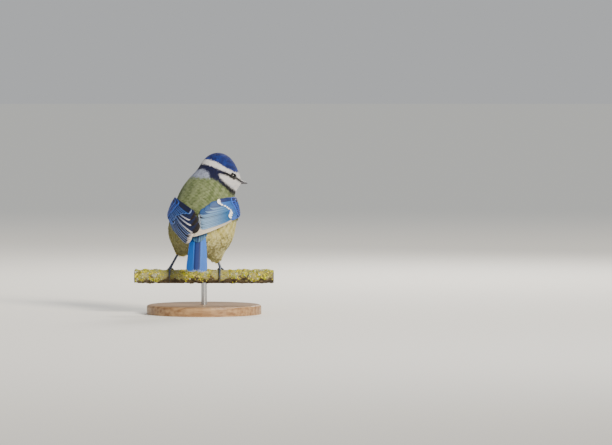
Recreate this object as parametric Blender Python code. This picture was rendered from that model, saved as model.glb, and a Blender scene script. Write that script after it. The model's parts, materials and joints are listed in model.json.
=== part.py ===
"""Blue tit, life size, gripping a short length of lichened branch on a plain display stand.

The bird is seen from behind, with its head turned over its right shoulder. Lengths are in
millimetres and angles in degrees until a mesh is made, which is in metres. The bird and its
branch are described from the top of the branch: +X to the bird's right, +Y away from its tail
and +Z up. An empty lifts them on to the stand, whose underside is the origin.
"""
import math
from typing import NamedTuple

import bmesh
import bpy
import numpy as np

MM = 0.001
GAP = 0.3

# Stand and branch
BASE_RADIUS = 43.0
BASE_THICKNESS = 7.0
BASE_EDGE = 1.6
ROD_RADIUS = 2.2
ROD_SHOWN = 16.0
SOCKET_CLEARANCE = 0.3
SOCKET_DEPTH = 3.0
PERCH_RADIUS = 5.0
PERCH_HALF_LENGTH = 52.0
PERCH_TOP = BASE_THICKNESS + ROD_SHOWN + 2 * PERCH_RADIUS
BARK_RELIEF = 0.35


class Form(NamedTuple):
    """One rounded mass of the plumage, as an ellipsoid."""

    centre: tuple
    radii: tuple
    pitch: float = 0.0
    yaw: float = 0.0


# The body looks along its heading, a little right of straight ahead. Centres are lateral,
# forward and up; radii are across, along and through, and pitch lifts the long axis.
BODY_HEADING = 10.0
BODY_CENTRE = np.array([-0.5, 1.0, 38.0])
BODY_FORMS = {
    "belly": Form((-0.2, 1.0, 37.0), (24.0, 25.5, 24.6), 30),
    "vent": Form((-1.5, -5.0, 26.0), (14.5, 15.0, 13.0), 25),
    "left_flank": Form((-14.8, -1.0, 29.8), (12.2, 14.5, 12.2), 60),
    "right_flank": Form((9.4, 0.0, 26.6), (11.6, 12.0, 12.0), 60),
    "breast": Form((1.8, 8.5, 43.5), (20.0, 16.0, 19.0), 50),
    "back": Form((0.8, -5.0, 50.0), (19.6, 21.0, 17.0), 55),
    "mantle": Form((2.8, 0.0, 59.0), (16.4, 15.0, 14.0), 55),
    "rump": Form((-0.5, -16.0, 38.0), (11.5, 16.0, 9.0), 75),
    "nape": Form((6.0, 3.0, 63.5), (11.8, 11.6, 12.0), 50, 25),
}
# The head is turned to the right and a little down. Its forms are right, forward and up.
HEAD_CENTRE = np.array([11.4, 6.0, 72.2])
HEAD_HEADING = 66.0
HEAD_PITCH = -8.0
HEAD_FORMS = {
    "skull": Form((0.0, -0.6, 1.0), (8.2, 13.2, 12.8)),
    "crown": Form((0.0, -2.2, 3.4), (7.2, 10.6, 10.8)),
    "left_cheek": Form((-4.2, 0.6, -4.4), (4.8, 7.6, 6.8)),
    "right_cheek": Form((4.2, 0.6, -4.4), (4.8, 7.6, 6.8)),
    "face": Form((0.0, 6.8, -2.8), (4.2, 6.0, 5.2)),
    "snout": Form((0.0, 12.4, -4.3), (1.7, 4.4, 1.9)),
    "throat": Form((0.0, 4.2, -9.8), (6.2, 6.6, 6.0)),
}
BLEND = 3.0

# Planes where the neck meets the torso and the head: a point and the way they face
NECK_BASE = (np.array([6.0, 5.0, 57.5]), np.array([0.40, 0.20, 0.894]))
HEAD_BASE = (np.array([9.5, 7.0, 64.5]), np.array([0.50, 0.24, 0.83]))

# Eyes and bill, in head directions
EYE_PLACE = (0.0, 4.6, -1.1)
EYE_RADIUS = 2.7
EYE_SINK = 1.6
EYE_FORWARD_LEAN = 0.22
LID_RADIUS = 2.85
LID_THICKNESS = 0.5
BILL_SEAT = 17.2
BILL_HEIGHT = -4.3
BILL_LENGTH = 6.7
BILL_HALF_WIDTH = 1.75
UPPER_DEPTH = 1.95
LOWER_DEPTH = 1.45
BILL_TIP_SHARE = 0.08
BILL_TIP_DROP = 0.25
NOSTRIL_RADIUS = 0.38
NOSTRIL_FORWARD = 1.5
NOSTRIL_UP = 1.35

# Tail: its line leaves the rump and hangs a little behind the branch
TAIL_ROOT = np.array([-3.6, -24.0, 31.0])
TAIL_TIP = np.array([-4.8, -32.2, -0.2])
TAIL_ROOF = 0.016
RECTRICES_A_SIDE = 6
RECTRIX_WIDTH = 5.2
RECTRIX_STEP = 0.33
RECTRIX_TOP = 0.75
TAIL_UPPER_COVERTS = 5
TAIL_UNDER_COVERTS = 4

# Wings are laid over the body by directions from its centre. A wing's own measures run
# from its bend along its length and up across it, with this many millimetres a degree.
WING_MM_PER_DEGREE = 0.489
WING_CLEARANCE = 0.55
WING_LIFT = 3.4
VANE_THICKNESS = 0.5


class WingPlace(NamedTuple):
    """Where a folded wing's bend sits on the body, and how the wing slopes from it."""

    side: int
    bend_turn: float
    bend_rise: float
    slope: float
    spread: float
    reach: float
    upper_rise: float
    lower_drop: float


# The left wing's upper feathers lie over the right wing, and its outer ones tuck under it
RIGHT_WING = WingPlace(1, 104.0, 2.0, 13.0, 1.0, 64.0, 0.0, 0.0)
LEFT_WING = WingPlace(-1, 104.0, 13.0, 36.0, 1.2, 42.0, 1.8, 1.8)


class Tier(NamedTuple):
    """A row of overlapping vanes: roots and tips as along and across, first to last."""

    count: int
    first_root: tuple
    last_root: tuple
    first_tip: tuple
    last_tip: tuple
    width: float
    level: float
    tilt: float
    stations: int
    bow: float = 0.0


# The greater coverts' tips make a bow, which is the wing bar
COVERT_BOW = 5.0
RIGHT_INNER_TIERS = (
    Tier(5, (13.0, 8.6), (15.0, 13.6), (52.0, 8.4), (48.5, 14.2), 6.0, 1.15, 0.2, 5),
    Tier(3, (14.0, 14.6), (17.0, 17.6), (48.5, 15.4), (40.0, 19.0), 6.8, 1.45, 0.13, 5),
)
LEFT_INNER_TIERS = (
    Tier(5, (13.0, 8.6), (15.0, 13.6), (46.0, 8.6), (45.0, 14.4), 6.0, 1.15, 0.2, 5),
    Tier(3, (16.0, 13.4), (19.0, 16.4), (46.5, 16.2), (39.5, 19.8), 6.6, 1.45, 0.13, 5),
)
UPPER_TIERS = (
    Tier(6, (9.0, 8.0), (14.0, 18.6), (28.5, 8.6), (35.5, 20.4), 5.2, 1.8, 0.14, 4, COVERT_BOW),
    Tier(4, (5.0, 6.8), (8.5, 16.4), (18.5, 7.6), (24.0, 18.4), 5.8, 2.1, 0.1, 3),
    Tier(3, (2.2, 6.2), (4.5, 12.6), (11.5, 7.2), (14.5, 15.2), 5.6, 2.4, 0.08, 3),
    Tier(2, (6.0, 4.8), (7.0, 6.8), (27.0, 5.8), (29.0, 7.6), 3.2, 1.65, 0.14, 3),
    Tier(1, (4.0, 4.8), (4.0, 4.8), (18.5, 5.4), (18.5, 5.4), 3.2, 2.0, 0.1, 3),
)
PRIMARY_COUNT = 6
PRIMARY_WIDTH = 4.2
PRIMARY_TILT = 0.27
PRIMARY_FIRST_ROOT = (12.0, 6.2)
PRIMARY_LAST_ROOT = (14.0, 8.6)
PRIMARY_TIP_ACROSS = (4.0, 8.4)
PRIMARY_STEP = 0.014
LONGEST_PRIMARY = 2.2
WING_ARM_LENGTH = 27.0
WING_ARM_DEPTHS = (0.15, 1.7)
WING_ARM_LOW = 3.2
WING_ARM_RISE = 1.4

# Legs: where each thigh leaves the belly, the ankle below it, and the foot on the branch
LEFT_LEG = {
    "thigh": ((-12.5, 3.0, 24.0), (-19.2, 2.2, 12.8)),
    "thigh_radii": (6.5, 2.5),
    "foot": (-25.4, 0.0),
}
RIGHT_LEG = {
    "thigh": ((7.5, 2.0, 17.0), (10.2, 1.0, 7.4)),
    "thigh_radii": (5.2, 2.2),
    "foot": (12.2, 0.0),
}
TARSUS_RADIUS = 0.85
TOE_RADIUS = 0.8
CLAW_RADIUS = 0.45
HUB_STUB = 2.0
# Each toe: how far it splays, how far round the branch it reaches, and its claw's hook and length
TOES = ((-3.2, 88, 0.5, 3.0), (0.2, 104, 0.4, 3.2), (3.4, 84, 0.5, 3.0), (-0.3, -84, -0.2, 5.4))

COLOURS = {
    "blue_cap": ("#2b3f86", 0.7),
    "olive_back": ("#7d8a6a", 0.8),
    "wing_blue": ("#3f63a0", 0.6),
    "tail_blue": ("#2f5aa6", 0.6),
    "yellow_belly": ("#c9c27c", 0.85),
    "horn": ("#2c2b2e", 0.35),
    "eye": ("#0c0a0a", 0.05),
    "leg": ("#4a5a70", 0.55),
    "bark": ("#8f8a3c", 0.95),
    "stand_wood": ("#8a6a48", 0.55),
    "steel": ("#9a9c9e", 0.3),
}


def unit(vector):
    """The vector at length one."""
    vector = np.asarray(vector, dtype=float)
    return vector / np.linalg.norm(vector, axis=-1, keepdims=True)


def heading_frame(heading, pitch):
    """Rows across, along and through for something that faces a heading and a pitch."""
    turn, lift = math.radians(heading), math.radians(pitch)
    across = np.array([math.cos(turn), -math.sin(turn), 0.0])
    along = np.array([math.sin(turn) * math.cos(lift), math.cos(turn) * math.cos(lift), math.sin(lift)])
    return np.stack([across, along, np.cross(across, along)])


HEAD_FRAME = heading_frame(HEAD_HEADING, HEAD_PITCH)


def head_point(right, forward, up):
    """A place on the head from its own right, forward and up."""
    return HEAD_CENTRE + np.array([right, forward, up]) @ HEAD_FRAME


def placed_forms():
    """Every form as its centre, its radii and its axes, in the branch's directions."""
    level = heading_frame(BODY_HEADING, 0.0)
    placed = []
    for form in BODY_FORMS.values():
        across, forward, up = form.centre
        centre = across * level[0] + forward * level[1] + np.array([0.0, 0.0, up])
        placed.append((centre, np.array(form.radii), heading_frame(BODY_HEADING + form.yaw, form.pitch)))
    for form in HEAD_FORMS.values():
        placed.append((head_point(*form.centre), np.array(form.radii), HEAD_FRAME))
    return placed


FORMS = placed_forms()


def plumage_depth(points):
    """Distance outside the plumage, roughly in millimetres: the forms flow into each other."""
    total = np.zeros(points.shape[:-1])
    for centre, radii, axes in FORMS:
        scaled = (points - centre) @ axes.T / radii
        reach = np.linalg.norm(scaled, axis=-1)
        slope = np.maximum(np.linalg.norm(scaled / radii, axis=-1), 1e-9)
        total += np.exp(-np.clip(reach * (reach - 1.0) / slope, -60.0, 60.0) / BLEND)
    return -BLEND * np.log(total)


def plumage_reach(centre, directions, furthest=70.0, step=1.25):
    """How far the plumage's surface is from a centre inside it, in each direction."""
    shape = directions.shape[:-1]
    near, far = np.zeros(shape), np.full(shape, furthest)
    found = np.zeros(shape, dtype=bool)
    for distance in np.arange(step, furthest, step):
        outside = plumage_depth(centre + directions * distance) > 0
        new = outside & ~found
        near[new], far[new] = distance - step, distance
        found |= outside
    for _ in range(16):
        middle = (near + far) / 2
        outside = plumage_depth(centre + directions * middle[..., None]) > 0
        far = np.where(outside, middle, far)
        near = np.where(outside, near, middle)
    return (near + far) / 2


def strip(first, second, closed):
    """Triangles between two rows of point numbers."""
    count = len(first) if closed else len(first) - 1
    faces = []
    for i in range(count):
        j = (i + 1) % len(first)
        faces.append((first[i], first[j], second[j]))
        faces.append((first[i], second[j], second[i]))
    return faces


def ringed_mesh(rings, start, end):
    """A closed mesh from rings of points, shut by a fan on a point at either end."""
    count = len(rings[0])
    verts = np.concatenate([[start], *rings, [end]])
    rows = [list(range(1 + k * count, 1 + (k + 1) * count)) for k in range(len(rings))]
    last = len(verts) - 1
    faces = [(0, rows[0][(i + 1) % count], rows[0][i]) for i in range(count)]
    for first, second in zip(rows, rows[1:]):
        faces += strip(first, second, True)
    faces += [(last, rows[-1][i], rows[-1][(i + 1) % count]) for i in range(count)]
    return verts, faces


def mesh_object(name, verts, faces, colour, parent=None):
    """A closed mesh object in metres, with its faces out and its own finish."""
    mesh = bpy.data.meshes.new(name)
    mesh.from_pydata([tuple(v) for v in np.asarray(verts) * MM], [], [tuple(f) for f in faces])
    build = bmesh.new()
    build.from_mesh(mesh)
    bmesh.ops.recalc_face_normals(build, faces=build.faces)
    build.to_mesh(mesh)
    build.free()
    thing = bpy.data.objects.new(name, mesh)
    bpy.context.scene.collection.objects.link(thing)
    thing.parent = parent
    if colour:
        dress(thing, colour)
    return thing


def linear(hex_colour):
    """An sRGB hex colour in linear light."""
    channels = [int(hex_colour[i:i + 2], 16) / 255 for i in (1, 3, 5)]
    return [c / 12.92 if c <= 0.04045 else ((c + 0.055) / 1.055) ** 2.4 for c in channels]


def dress(thing, colour):
    """Give an object a finish of its own and smooth shading."""
    hex_colour, roughness = COLOURS[colour]
    material = bpy.data.materials.new(thing.name)
    material.use_nodes = True
    shader = material.node_tree.nodes["Principled BSDF"]
    shader.inputs["Base Color"].default_value = (*linear(hex_colour), 1.0)
    shader.inputs["Roughness"].default_value = roughness
    shader.inputs["Metallic"].default_value = 1.0 if colour == "steel" else 0.0
    thing.data.materials.clear()
    thing.data.materials.append(material)
    thing.data.shade_smooth()
    thing.data.set_sharp_from_angle(angle=math.radians(35))


def keep_largest_shell(mesh):
    """Leave only the largest closed surface of a mesh."""
    build = bmesh.new()
    build.from_mesh(mesh)
    bmesh.ops.triangulate(build, faces=build.faces)
    build.faces.ensure_lookup_table()
    seen, shells = set(), []
    for face in build.faces:
        if face.index in seen:
            continue
        shell, queue = [], [face]
        seen.add(face.index)
        while queue:
            current = queue.pop()
            shell.append(current)
            for edge in current.edges:
                for other in edge.link_faces:
                    if other.index not in seen:
                        seen.add(other.index)
                        queue.append(other)
        area = sum(f.calc_area() for f in shell)
        shells.append((area, shell))
    shells.sort(key=lambda pair: -pair[0])
    extra = [face for _, shell in shells[1:] for face in shell]
    bmesh.ops.delete(build, geom=extra, context="FACES")
    loose = [v for v in build.verts if not v.link_faces]
    bmesh.ops.delete(build, geom=loose, context="VERTS")
    build.to_mesh(mesh)
    build.free()


def carve(target, operation, cutter=None, collection=None):
    """Union with, or cut away, one closed object or a collection of them, and apply it."""
    modifier = target.modifiers.new(operation.title(), "BOOLEAN")
    modifier.operation = operation
    modifier.solver = "EXACT"
    if collection:
        modifier.operand_type = "COLLECTION"
        modifier.collection = collection
    else:
        modifier.object = cutter
    bpy.context.view_layer.update()
    seen = target.evaluated_get(bpy.context.evaluated_depsgraph_get())
    mesh = bpy.data.meshes.new_from_object(seen)
    target.modifiers.remove(modifier)
    keep_largest_shell(mesh)
    target.data = mesh
    tools = list(collection.objects) if collection else [cutter]
    for tool in tools:
        bpy.data.objects.remove(tool)
    if collection:
        bpy.data.collections.remove(collection)


def fuse(target, pieces):
    """Join closed pieces to a target with one union."""
    collection = bpy.data.collections.new(target.name + "_pieces")
    bpy.context.scene.collection.children.link(collection)
    for piece in pieces:
        bpy.context.scene.collection.objects.unlink(piece)
        collection.objects.link(piece)
    carve(target, "UNION", collection=collection)


def bisect(thing, point, normal):
    """Cut a mesh with a plane, drop what the normal points to, and cap it flat."""
    build = bmesh.new()
    build.from_mesh(thing.data)
    geometry = build.verts[:] + build.edges[:] + build.faces[:]
    bmesh.ops.bisect_plane(build, geom=geometry, plane_co=np.asarray(point) * MM, plane_no=normal,
                           clear_outer=True, dist=1e-7)
    rim = [edge for edge in build.edges if edge.is_boundary]
    bmesh.ops.contextual_create(build, geom=rim)
    bmesh.ops.triangulate(build, faces=build.faces)
    bmesh.ops.recalc_face_normals(build, faces=build.faces)
    build.to_mesh(thing.data)
    build.free()


def star_mesh(centre, pole, rings, sectors, extra=0.0):
    """The plumage's surface around a centre, as rings about a pole."""
    pole = unit(pole)
    side = unit(np.cross(pole, (0.31, 0.94, 0.12)))
    front = np.cross(side, pole)
    turn = np.linspace(0, 2 * np.pi, sectors, endpoint=False)
    polar = np.linspace(0, np.pi, rings + 2)[1:-1]
    circle = np.cos(turn)[:, None] * side + np.sin(turn)[:, None] * front
    directions = np.cos(polar)[:, None, None] * pole + np.sin(polar)[:, None, None] * circle
    points = centre + directions * (plumage_reach(centre, directions) + extra)[..., None]
    ends = np.stack([pole, -pole])
    tips = centre + ends * (plumage_reach(centre, ends) + extra)[:, None]
    return ringed_mesh(list(points), tips[0], tips[1])


def tube(path, radii, sides, start_flat=True):
    """A closed round tube along a path, its rings carried on without twist."""
    path = np.asarray(path, dtype=float)
    tangents = unit(np.gradient(path, axis=0))
    normal = unit(np.cross(tangents[0], (0.13, 0.21, 0.97)))
    rings = []
    for point, tangent, radius in zip(path, tangents, radii):
        normal = unit(normal - tangent * np.dot(normal, tangent))
        other = np.cross(tangent, normal)
        turn = np.linspace(0, 2 * np.pi, sides, endpoint=False)[:, None]
        rings.append(point + radius * (np.cos(turn) * normal + np.sin(turn) * other))
    start = path[0] if start_flat else path[0] - tangents[0] * radii[0] * 0.6
    return ringed_mesh(rings, start, path[-1] + tangents[-1] * radii[-1] * 0.4)


def ball(name, centre, radii, axes, sectors, rings, parent):
    """A rounded ball, longer or shorter along its own axes."""
    turn = np.linspace(0, 2 * np.pi, sectors, endpoint=False)
    polar = np.linspace(0, np.pi, rings + 2)[1:-1]
    loops = []
    for angle in polar:
        local = np.stack([np.sin(angle) * np.cos(turn), np.sin(angle) * np.sin(turn),
                          np.full(sectors, np.cos(angle))], axis=-1)
        loops.append(centre + (local * radii) @ axes)
    pole = np.array([0.0, 0.0, radii[2]]) @ axes
    verts, faces = ringed_mesh(loops, centre + pole, centre - pole)
    return mesh_object(name, verts, faces, None, parent)


def make_torso(bird):
    """Body from the neck down to the vent."""
    verts, faces = star_mesh(BODY_CENTRE, (0.1, 0.15, 1.0), 24, 34)
    torso = mesh_object("torso", verts, faces, None, bird)
    point, normal = NECK_BASE
    bisect(torso, point - unit(normal) * GAP / 2, normal)
    dress(torso, "olive_back")
    return torso


def make_neck(bird):
    """Nape and collar between the torso and the head."""
    rings, sectors = 5, 36
    turn = np.linspace(0, 2 * np.pi, sectors, endpoint=False)
    loops, middles = [], []
    for k in range(rings):
        t = k / (rings - 1)
        inset = GAP / 2 * (1 - 2 * t)
        normal = unit((1 - t) * NECK_BASE[1] + t * HEAD_BASE[1])
        middle = (1 - t) * NECK_BASE[0] + t * HEAD_BASE[0] + normal * inset
        side = unit(np.cross(normal, (0.0, 1.0, 0.0)))
        directions = np.cos(turn)[:, None] * side + np.sin(turn)[:, None] * np.cross(side, normal)
        loops.append(middle + directions * plumage_reach(middle, directions)[:, None])
        middles.append(middle)
    verts, faces = ringed_mesh(loops, middles[0], middles[-1])
    return mesh_object("neck", verts, faces, "blue_cap", bird)


def eye_centre(side):
    """Middle of an eyeball, sunk under the plumage on its side of the head."""
    _, forward, up = EYE_PLACE
    start = head_point(0.0, forward, up)
    outward = unit(side * HEAD_FRAME[0] + EYE_FORWARD_LEAN * HEAD_FRAME[1])
    reach = plumage_reach(start, outward[None])[0]
    return start + outward * (reach - EYE_SINK), outward


def make_head(bird):
    """Head with its lids, eye sockets and the flat that carries the bill."""
    bill_root = head_point(0.0, BILL_SEAT, BILL_HEIGHT)
    verts, faces = star_mesh(HEAD_CENTRE, bill_root - HEAD_CENTRE, 22, 34)
    head = mesh_object("head", verts, faces, None, bird)
    point, normal = HEAD_BASE
    bisect(head, point + unit(normal) * GAP / 2, -unit(normal))
    bisect(head, head_point(0.0, BILL_SEAT, 0.0), HEAD_FRAME[1])
    lids = []
    for side in (-1, 1):
        centre, outward = eye_centre(side)
        turn = np.linspace(0, 2 * np.pi, 15, endpoint=False)
        across = unit(np.cross(outward, HEAD_FRAME[2]))
        rise = np.cross(outward, across)
        lids.append(lid_ring(centre + outward * EYE_SINK * 0.7, across, rise, turn, bird))
    fuse(head, lids)
    for side in (-1, 1):
        centre, _ = eye_centre(side)
        socket = ball("socket", centre, (EYE_RADIUS + GAP,) * 3, HEAD_FRAME, 16, 9, bird)
        carve(head, "DIFFERENCE", socket)
    dress(head, "blue_cap")
    return head


def lid_ring(middle, across, rise, turn, bird):
    """A closed ring of skin round an eye."""
    sides = 6
    small = np.linspace(0, 2 * np.pi, sides, endpoint=False)
    outward = np.cross(across, rise)
    verts, rows = [], []
    for angle in turn:
        spoke = math.cos(angle) * across + math.sin(angle) * rise
        row = []
        for slant in small:
            row.append(len(verts))
            reach = LID_RADIUS + LID_THICKNESS * math.cos(slant)
            verts.append(middle + spoke * reach + outward * LID_THICKNESS * math.sin(slant))
        rows.append(row)
    faces = []
    for k, row in enumerate(rows):
        faces += strip(row, rows[(k + 1) % len(rows)], True)
    return mesh_object("lid", verts, faces, None, bird)


def make_eyes(bird):
    """Two eyeballs in their sockets."""
    for side, name in ((-1, "eye_left"), (1, "eye_right")):
        centre, outward = eye_centre(side)
        across = unit(np.cross(outward, HEAD_FRAME[2]))
        axes = np.stack([across, np.cross(outward, across), outward])
        eye = ball(name, centre, (EYE_RADIUS,) * 3, axes, 13, 7, bird)
        dress(eye, "eye")


def bill_mesh(depth, half_width, direction):
    """One mandible: a flat inner face and an arched outer one, tapering to its tip."""
    stations, arch = 7, 7
    loops, middles = [], []
    for k in range(stations):
        t = k / (stations - 1)
        size = (1 - t) ** 0.8 * (1 - BILL_TIP_SHARE) + BILL_TIP_SHARE
        forward = BILL_SEAT + GAP + t * BILL_LENGTH
        drop = BILL_HEIGHT + direction * GAP / 2 - BILL_TIP_DROP * t * t
        turn = np.linspace(0, np.pi, arch)
        right = half_width * size * np.cos(turn)
        up = drop + direction * depth * size * np.sin(turn)
        loops.append(np.stack([head_point(r, forward, u) for r, u in zip(right, up)]))
        middles.append(head_point(0.0, forward, drop + direction * depth * size * 0.4))
    return ringed_mesh(loops, middles[0], middles[-1])


def make_bill(bird):
    """Upper and lower mandible, meeting along the line of the mouth."""
    verts, faces = bill_mesh(UPPER_DEPTH, BILL_HALF_WIDTH, 1)
    upper = mesh_object("bill_upper", verts, faces, None, bird)
    for side in (-1, 1):
        place = head_point(side * BILL_HALF_WIDTH * 0.74, BILL_SEAT + NOSTRIL_FORWARD,
                           BILL_HEIGHT + NOSTRIL_UP)
        radii = (NOSTRIL_RADIUS, NOSTRIL_RADIUS * 1.7, NOSTRIL_RADIUS)
        nostril = ball("nostril", place, radii, HEAD_FRAME, 8, 5, bird)
        carve(upper, "DIFFERENCE", nostril)
    dress(upper, "horn")
    verts, faces = bill_mesh(LOWER_DEPTH, BILL_HALF_WIDTH * 0.92, -1)
    mesh_object("bill_lower", verts, faces, "horn", bird)


def smooth(value):
    """An even rise from 0 to 1."""
    value = np.clip(value, 0.0, 1.0)
    return value * value * (3 - 2 * value)


def wing_point(place, along, across, lift):
    """A place on a folded wing: along and across it from its bend, and lifted off its bed."""
    along, across, lift = np.broadcast_arrays(*map(np.asarray, (along, across * place.spread, lift)))
    slope = math.radians(place.slope)
    run = along * math.cos(slope) + across * math.sin(slope)
    climb = across * math.cos(slope) - along * math.sin(slope)
    turn = place.bend_turn - run / WING_MM_PER_DEGREE
    rise = place.bend_rise + climb / WING_MM_PER_DEGREE
    a, e = np.radians(turn * place.side), np.radians(rise)
    directions = np.stack([np.cos(e) * np.sin(a), -np.cos(e) * np.cos(a), np.sin(e)], axis=-1)
    over_rump = smooth((70 - np.abs(turn)) / 70) * smooth((5 - rise) / 22)
    bed = WING_CLEARANCE + WING_LIFT * over_rump
    reach = plumage_reach(BODY_CENTRE, directions) + bed + lift
    return BODY_CENTRE + directions * reach[..., None]


def slab(place, alongs, lows, highs, columns, bottom, top):
    """A closed plate between two edges of a wing, triangulated alike on both faces."""
    fraction = np.linspace(0, 1, columns)[None]
    across = np.asarray(lows)[:, None] * (1 - fraction) + np.asarray(highs)[:, None] * fraction
    along = np.broadcast_to(np.asarray(alongs)[:, None], across.shape)
    under = wing_point(place, along, across, bottom)
    over = wing_point(place, along, across, top)
    return plate_mesh(under, over)


def plate_mesh(under, over):
    """A closed mesh between two grids of points that match."""
    rows, columns = under.shape[:2]
    verts = np.concatenate([under.reshape(-1, 3), over.reshape(-1, 3)])
    number = np.arange(rows * columns).reshape(rows, columns)
    shift = rows * columns
    faces = []
    for i in range(rows - 1):
        lower = strip(list(number[i]), list(number[i + 1]), False)
        faces += [(a, c, b) for a, b, c in lower]
        faces += [(a + shift, b + shift, c + shift) for a, b, c in lower]
    rim = list(number[0, :-1]) + list(number[:-1, -1]) + list(number[-1, :0:-1]) + list(number[:0:-1, 0])
    faces += strip(rim, [r + shift for r in rim], True)
    return verts, faces


def vane(point_at, root, tip, width, level, tilt, stations, bird):
    """A flat tapered feather: three ribs long, its faces triangulated alike."""
    root, tip = np.asarray(root), np.asarray(tip)
    heading = unit(tip - root)
    side = np.array([-heading[1], heading[0]])
    under, over = [], []
    for k in range(stations):
        t = 1 - (1 - k / (stations - 1)) ** 1.25
        half = width / 2 * min(0.5 + 1.1 * t, 1.0) * (1 - 0.8 * max(t - 0.8, 0.0) ** 2 / 0.04)
        spread = np.array([-half, 0.0, half])
        middle = root + (tip - root) * t
        along, across = middle[0] + side[0] * spread, middle[1] + side[1] * spread
        upper = level(t) - tilt * spread - 0.08 * np.abs(spread / half)
        over.append(point_at(along, across, upper))
        under.append(point_at(along, across, upper - VANE_THICKNESS * (1 - 0.35 * t)))
    verts, faces = plate_mesh(np.array(under), np.array(over))
    return mesh_object("vane", verts, faces, None, bird)


def tier_vanes(place, tier, bird):
    """The vanes of one tier of a wing; the left wing's climb over the right."""
    vanes = []
    for k in range(tier.count):
        share = k / max(tier.count - 1, 1)
        root = np.array(tier.first_root) * (1 - share) + np.array(tier.last_root) * share
        tip = np.array(tier.first_tip) * (1 - share) + np.array(tier.last_tip) * share
        tip[0] -= tier.bow * math.sin(math.pi * share ** 0.75)

        def level(t, root=root, tip=tip):
            along = root[0] + (tip[0] - root[0]) * t
            return tier.level - 0.35 * (1 - t) + place.upper_rise * smooth((along - 25.0) / 12.0)

        vanes.append(vane(lambda a, c, h: wing_point(place, a, c, h), root, tip, tier.width, level,
                          tier.tilt, tier.stations, bird))
    return vanes


def primary_vanes(place, bird):
    """The outer flight feathers, the longest near the leading edge."""
    vanes = []
    for k in range(PRIMARY_COUNT):
        share = k / (PRIMARY_COUNT - 1)
        root = np.array(PRIMARY_FIRST_ROOT) * (1 - share) + np.array(PRIMARY_LAST_ROOT) * share
        shorter = PRIMARY_STEP * (k - LONGEST_PRIMARY) ** 2 * place.reach
        tip_across = PRIMARY_TIP_ACROSS[0] * (1 - share) + PRIMARY_TIP_ACROSS[1] * share
        tip = np.array([place.reach - shorter, tip_across])

        def level(t, root=root, tip=tip, share=share):
            along = root[0] + (tip[0] - root[0]) * t
            return 1.2 - 0.3 * (1 - t) - place.lower_drop * (1 - share ** 2) * smooth((along - 27.0) / 11.0)

        vanes.append(vane(lambda a, c, h: wing_point(place, a, c, h), root, tip, PRIMARY_WIDTH, level,
                          PRIMARY_TILT, 6, bird))
    return vanes


def make_wing(bird, name, place, inner_tiers):
    """A folded wing: its arm, with every tier of feathers fused to it."""
    alongs = np.linspace(0.6, WING_ARM_LENGTH, 9)
    lows = WING_ARM_LOW + WING_ARM_RISE * np.sin(np.pi * alongs / WING_ARM_LENGTH)
    highs = 5.0 + 14.0 * np.sin(np.pi / 2 * np.minimum(alongs / 22.0, 1.0)) ** 0.8
    verts, faces = slab(place, alongs, lows, highs, 6, *WING_ARM_DEPTHS)
    wing = mesh_object(name, verts, faces, None, bird)
    vanes = primary_vanes(place, bird)
    for tier in inner_tiers + UPPER_TIERS:
        vanes += tier_vanes(place, tier, bird)
    fuse(wing, vanes)
    dress(wing, "wing_blue")


TAIL_AXIS = unit(TAIL_TIP - TAIL_ROOT)
TAIL_ACROSS = unit(np.cross(TAIL_AXIS, (0.0, 1.0, 0.0)))
TAIL_BACK = unit(np.cross(TAIL_AXIS, TAIL_ACROSS))
TAIL_LENGTH = float(np.linalg.norm(TAIL_TIP - TAIL_ROOT))


def tail_point(along, across, lift):
    """A place on the tail: down it from its root, across it, and off its back, roofed a little."""
    along, across, lift = np.broadcast_arrays(*map(np.asarray, (along, across, lift)))
    lift = lift - TAIL_ROOF * across ** 2
    return (TAIL_ROOT + along[..., None] * TAIL_AXIS + across[..., None] * TAIL_ACROSS
            + lift[..., None] * TAIL_BACK)


def make_tail(bird):
    """Twelve tail feathers in a stack, with coverts over and under their roots."""
    alongs = np.linspace(-8.0, 5.0, 5)
    halves = np.linspace(4.6, 4.9, 5)
    fraction = np.linspace(-1, 1, 5)[None]
    across = halves[:, None] * fraction
    along = np.broadcast_to(alongs[:, None], across.shape)
    under = tail_point(along, across, -2.4 + 0.12 * (alongs[:, None] + 8) * np.ones_like(across))
    over = tail_point(along, across, 0.75)
    verts, faces = plate_mesh(under, over)
    tail = mesh_object("tail", verts, faces, None, bird)
    vanes = []
    for side in (-1, 1):
        for k in range(RECTRICES_A_SIDE):
            notch = 0.6 - 0.3 * k if k < 2 else 0.1 * (k - 2) ** 2
            root = (-6.0, side * (0.7 + 0.34 * k))
            tip = (TAIL_LENGTH - notch, side * (1.0 + 0.91 * k))
            top = RECTRIX_TOP - RECTRIX_STEP * (k + (0.5 if side < 0 else 0.0))
            vanes.append(vane(tail_point, root, tip, RECTRIX_WIDTH, lambda t, top=top: top, 0.0, 4, bird))
    for k in range(TAIL_UPPER_COVERTS):
        root, tip = (-7.0, 1.9 * (k - 2)), (9.5 - 0.9 * (k - 2) ** 2, 2.2 * (k - 2))
        top = 1.15 - 0.14 * abs(k - 2) - (0.07 if k < 2 else 0.0)
        vanes.append(vane(tail_point, root, tip, 4.6, lambda t, top=top: top, 0.0, 3, bird))
    for k in range(TAIL_UNDER_COVERTS):
        root, tip = (-6.0, 2.2 * (k - 1.5)), (15.0 - 1.2 * (k - 1.5) ** 2, 2.1 * (k - 1.5))
        low = -1.9 + 0.2 * abs(k - 1.5) - (0.1 if k < 2 else 0.0)
        vanes.append(vane(tail_point, root, tip, 5.2, lambda t, low=low: low + 0.3 * t, 0.0, 3, bird))
    fuse(tail, vanes)
    carve(tail, "DIFFERENCE", torso_keepout(bird))
    dress(tail, "tail_blue")


def torso_keepout(bird):
    """The torso's space with the gap that its neighbours keep."""
    verts, faces = star_mesh(BODY_CENTRE, (0.1, 0.15, 1.0), 24, 34, GAP)
    return mesh_object("keepout", verts, faces, None, bird)


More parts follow.
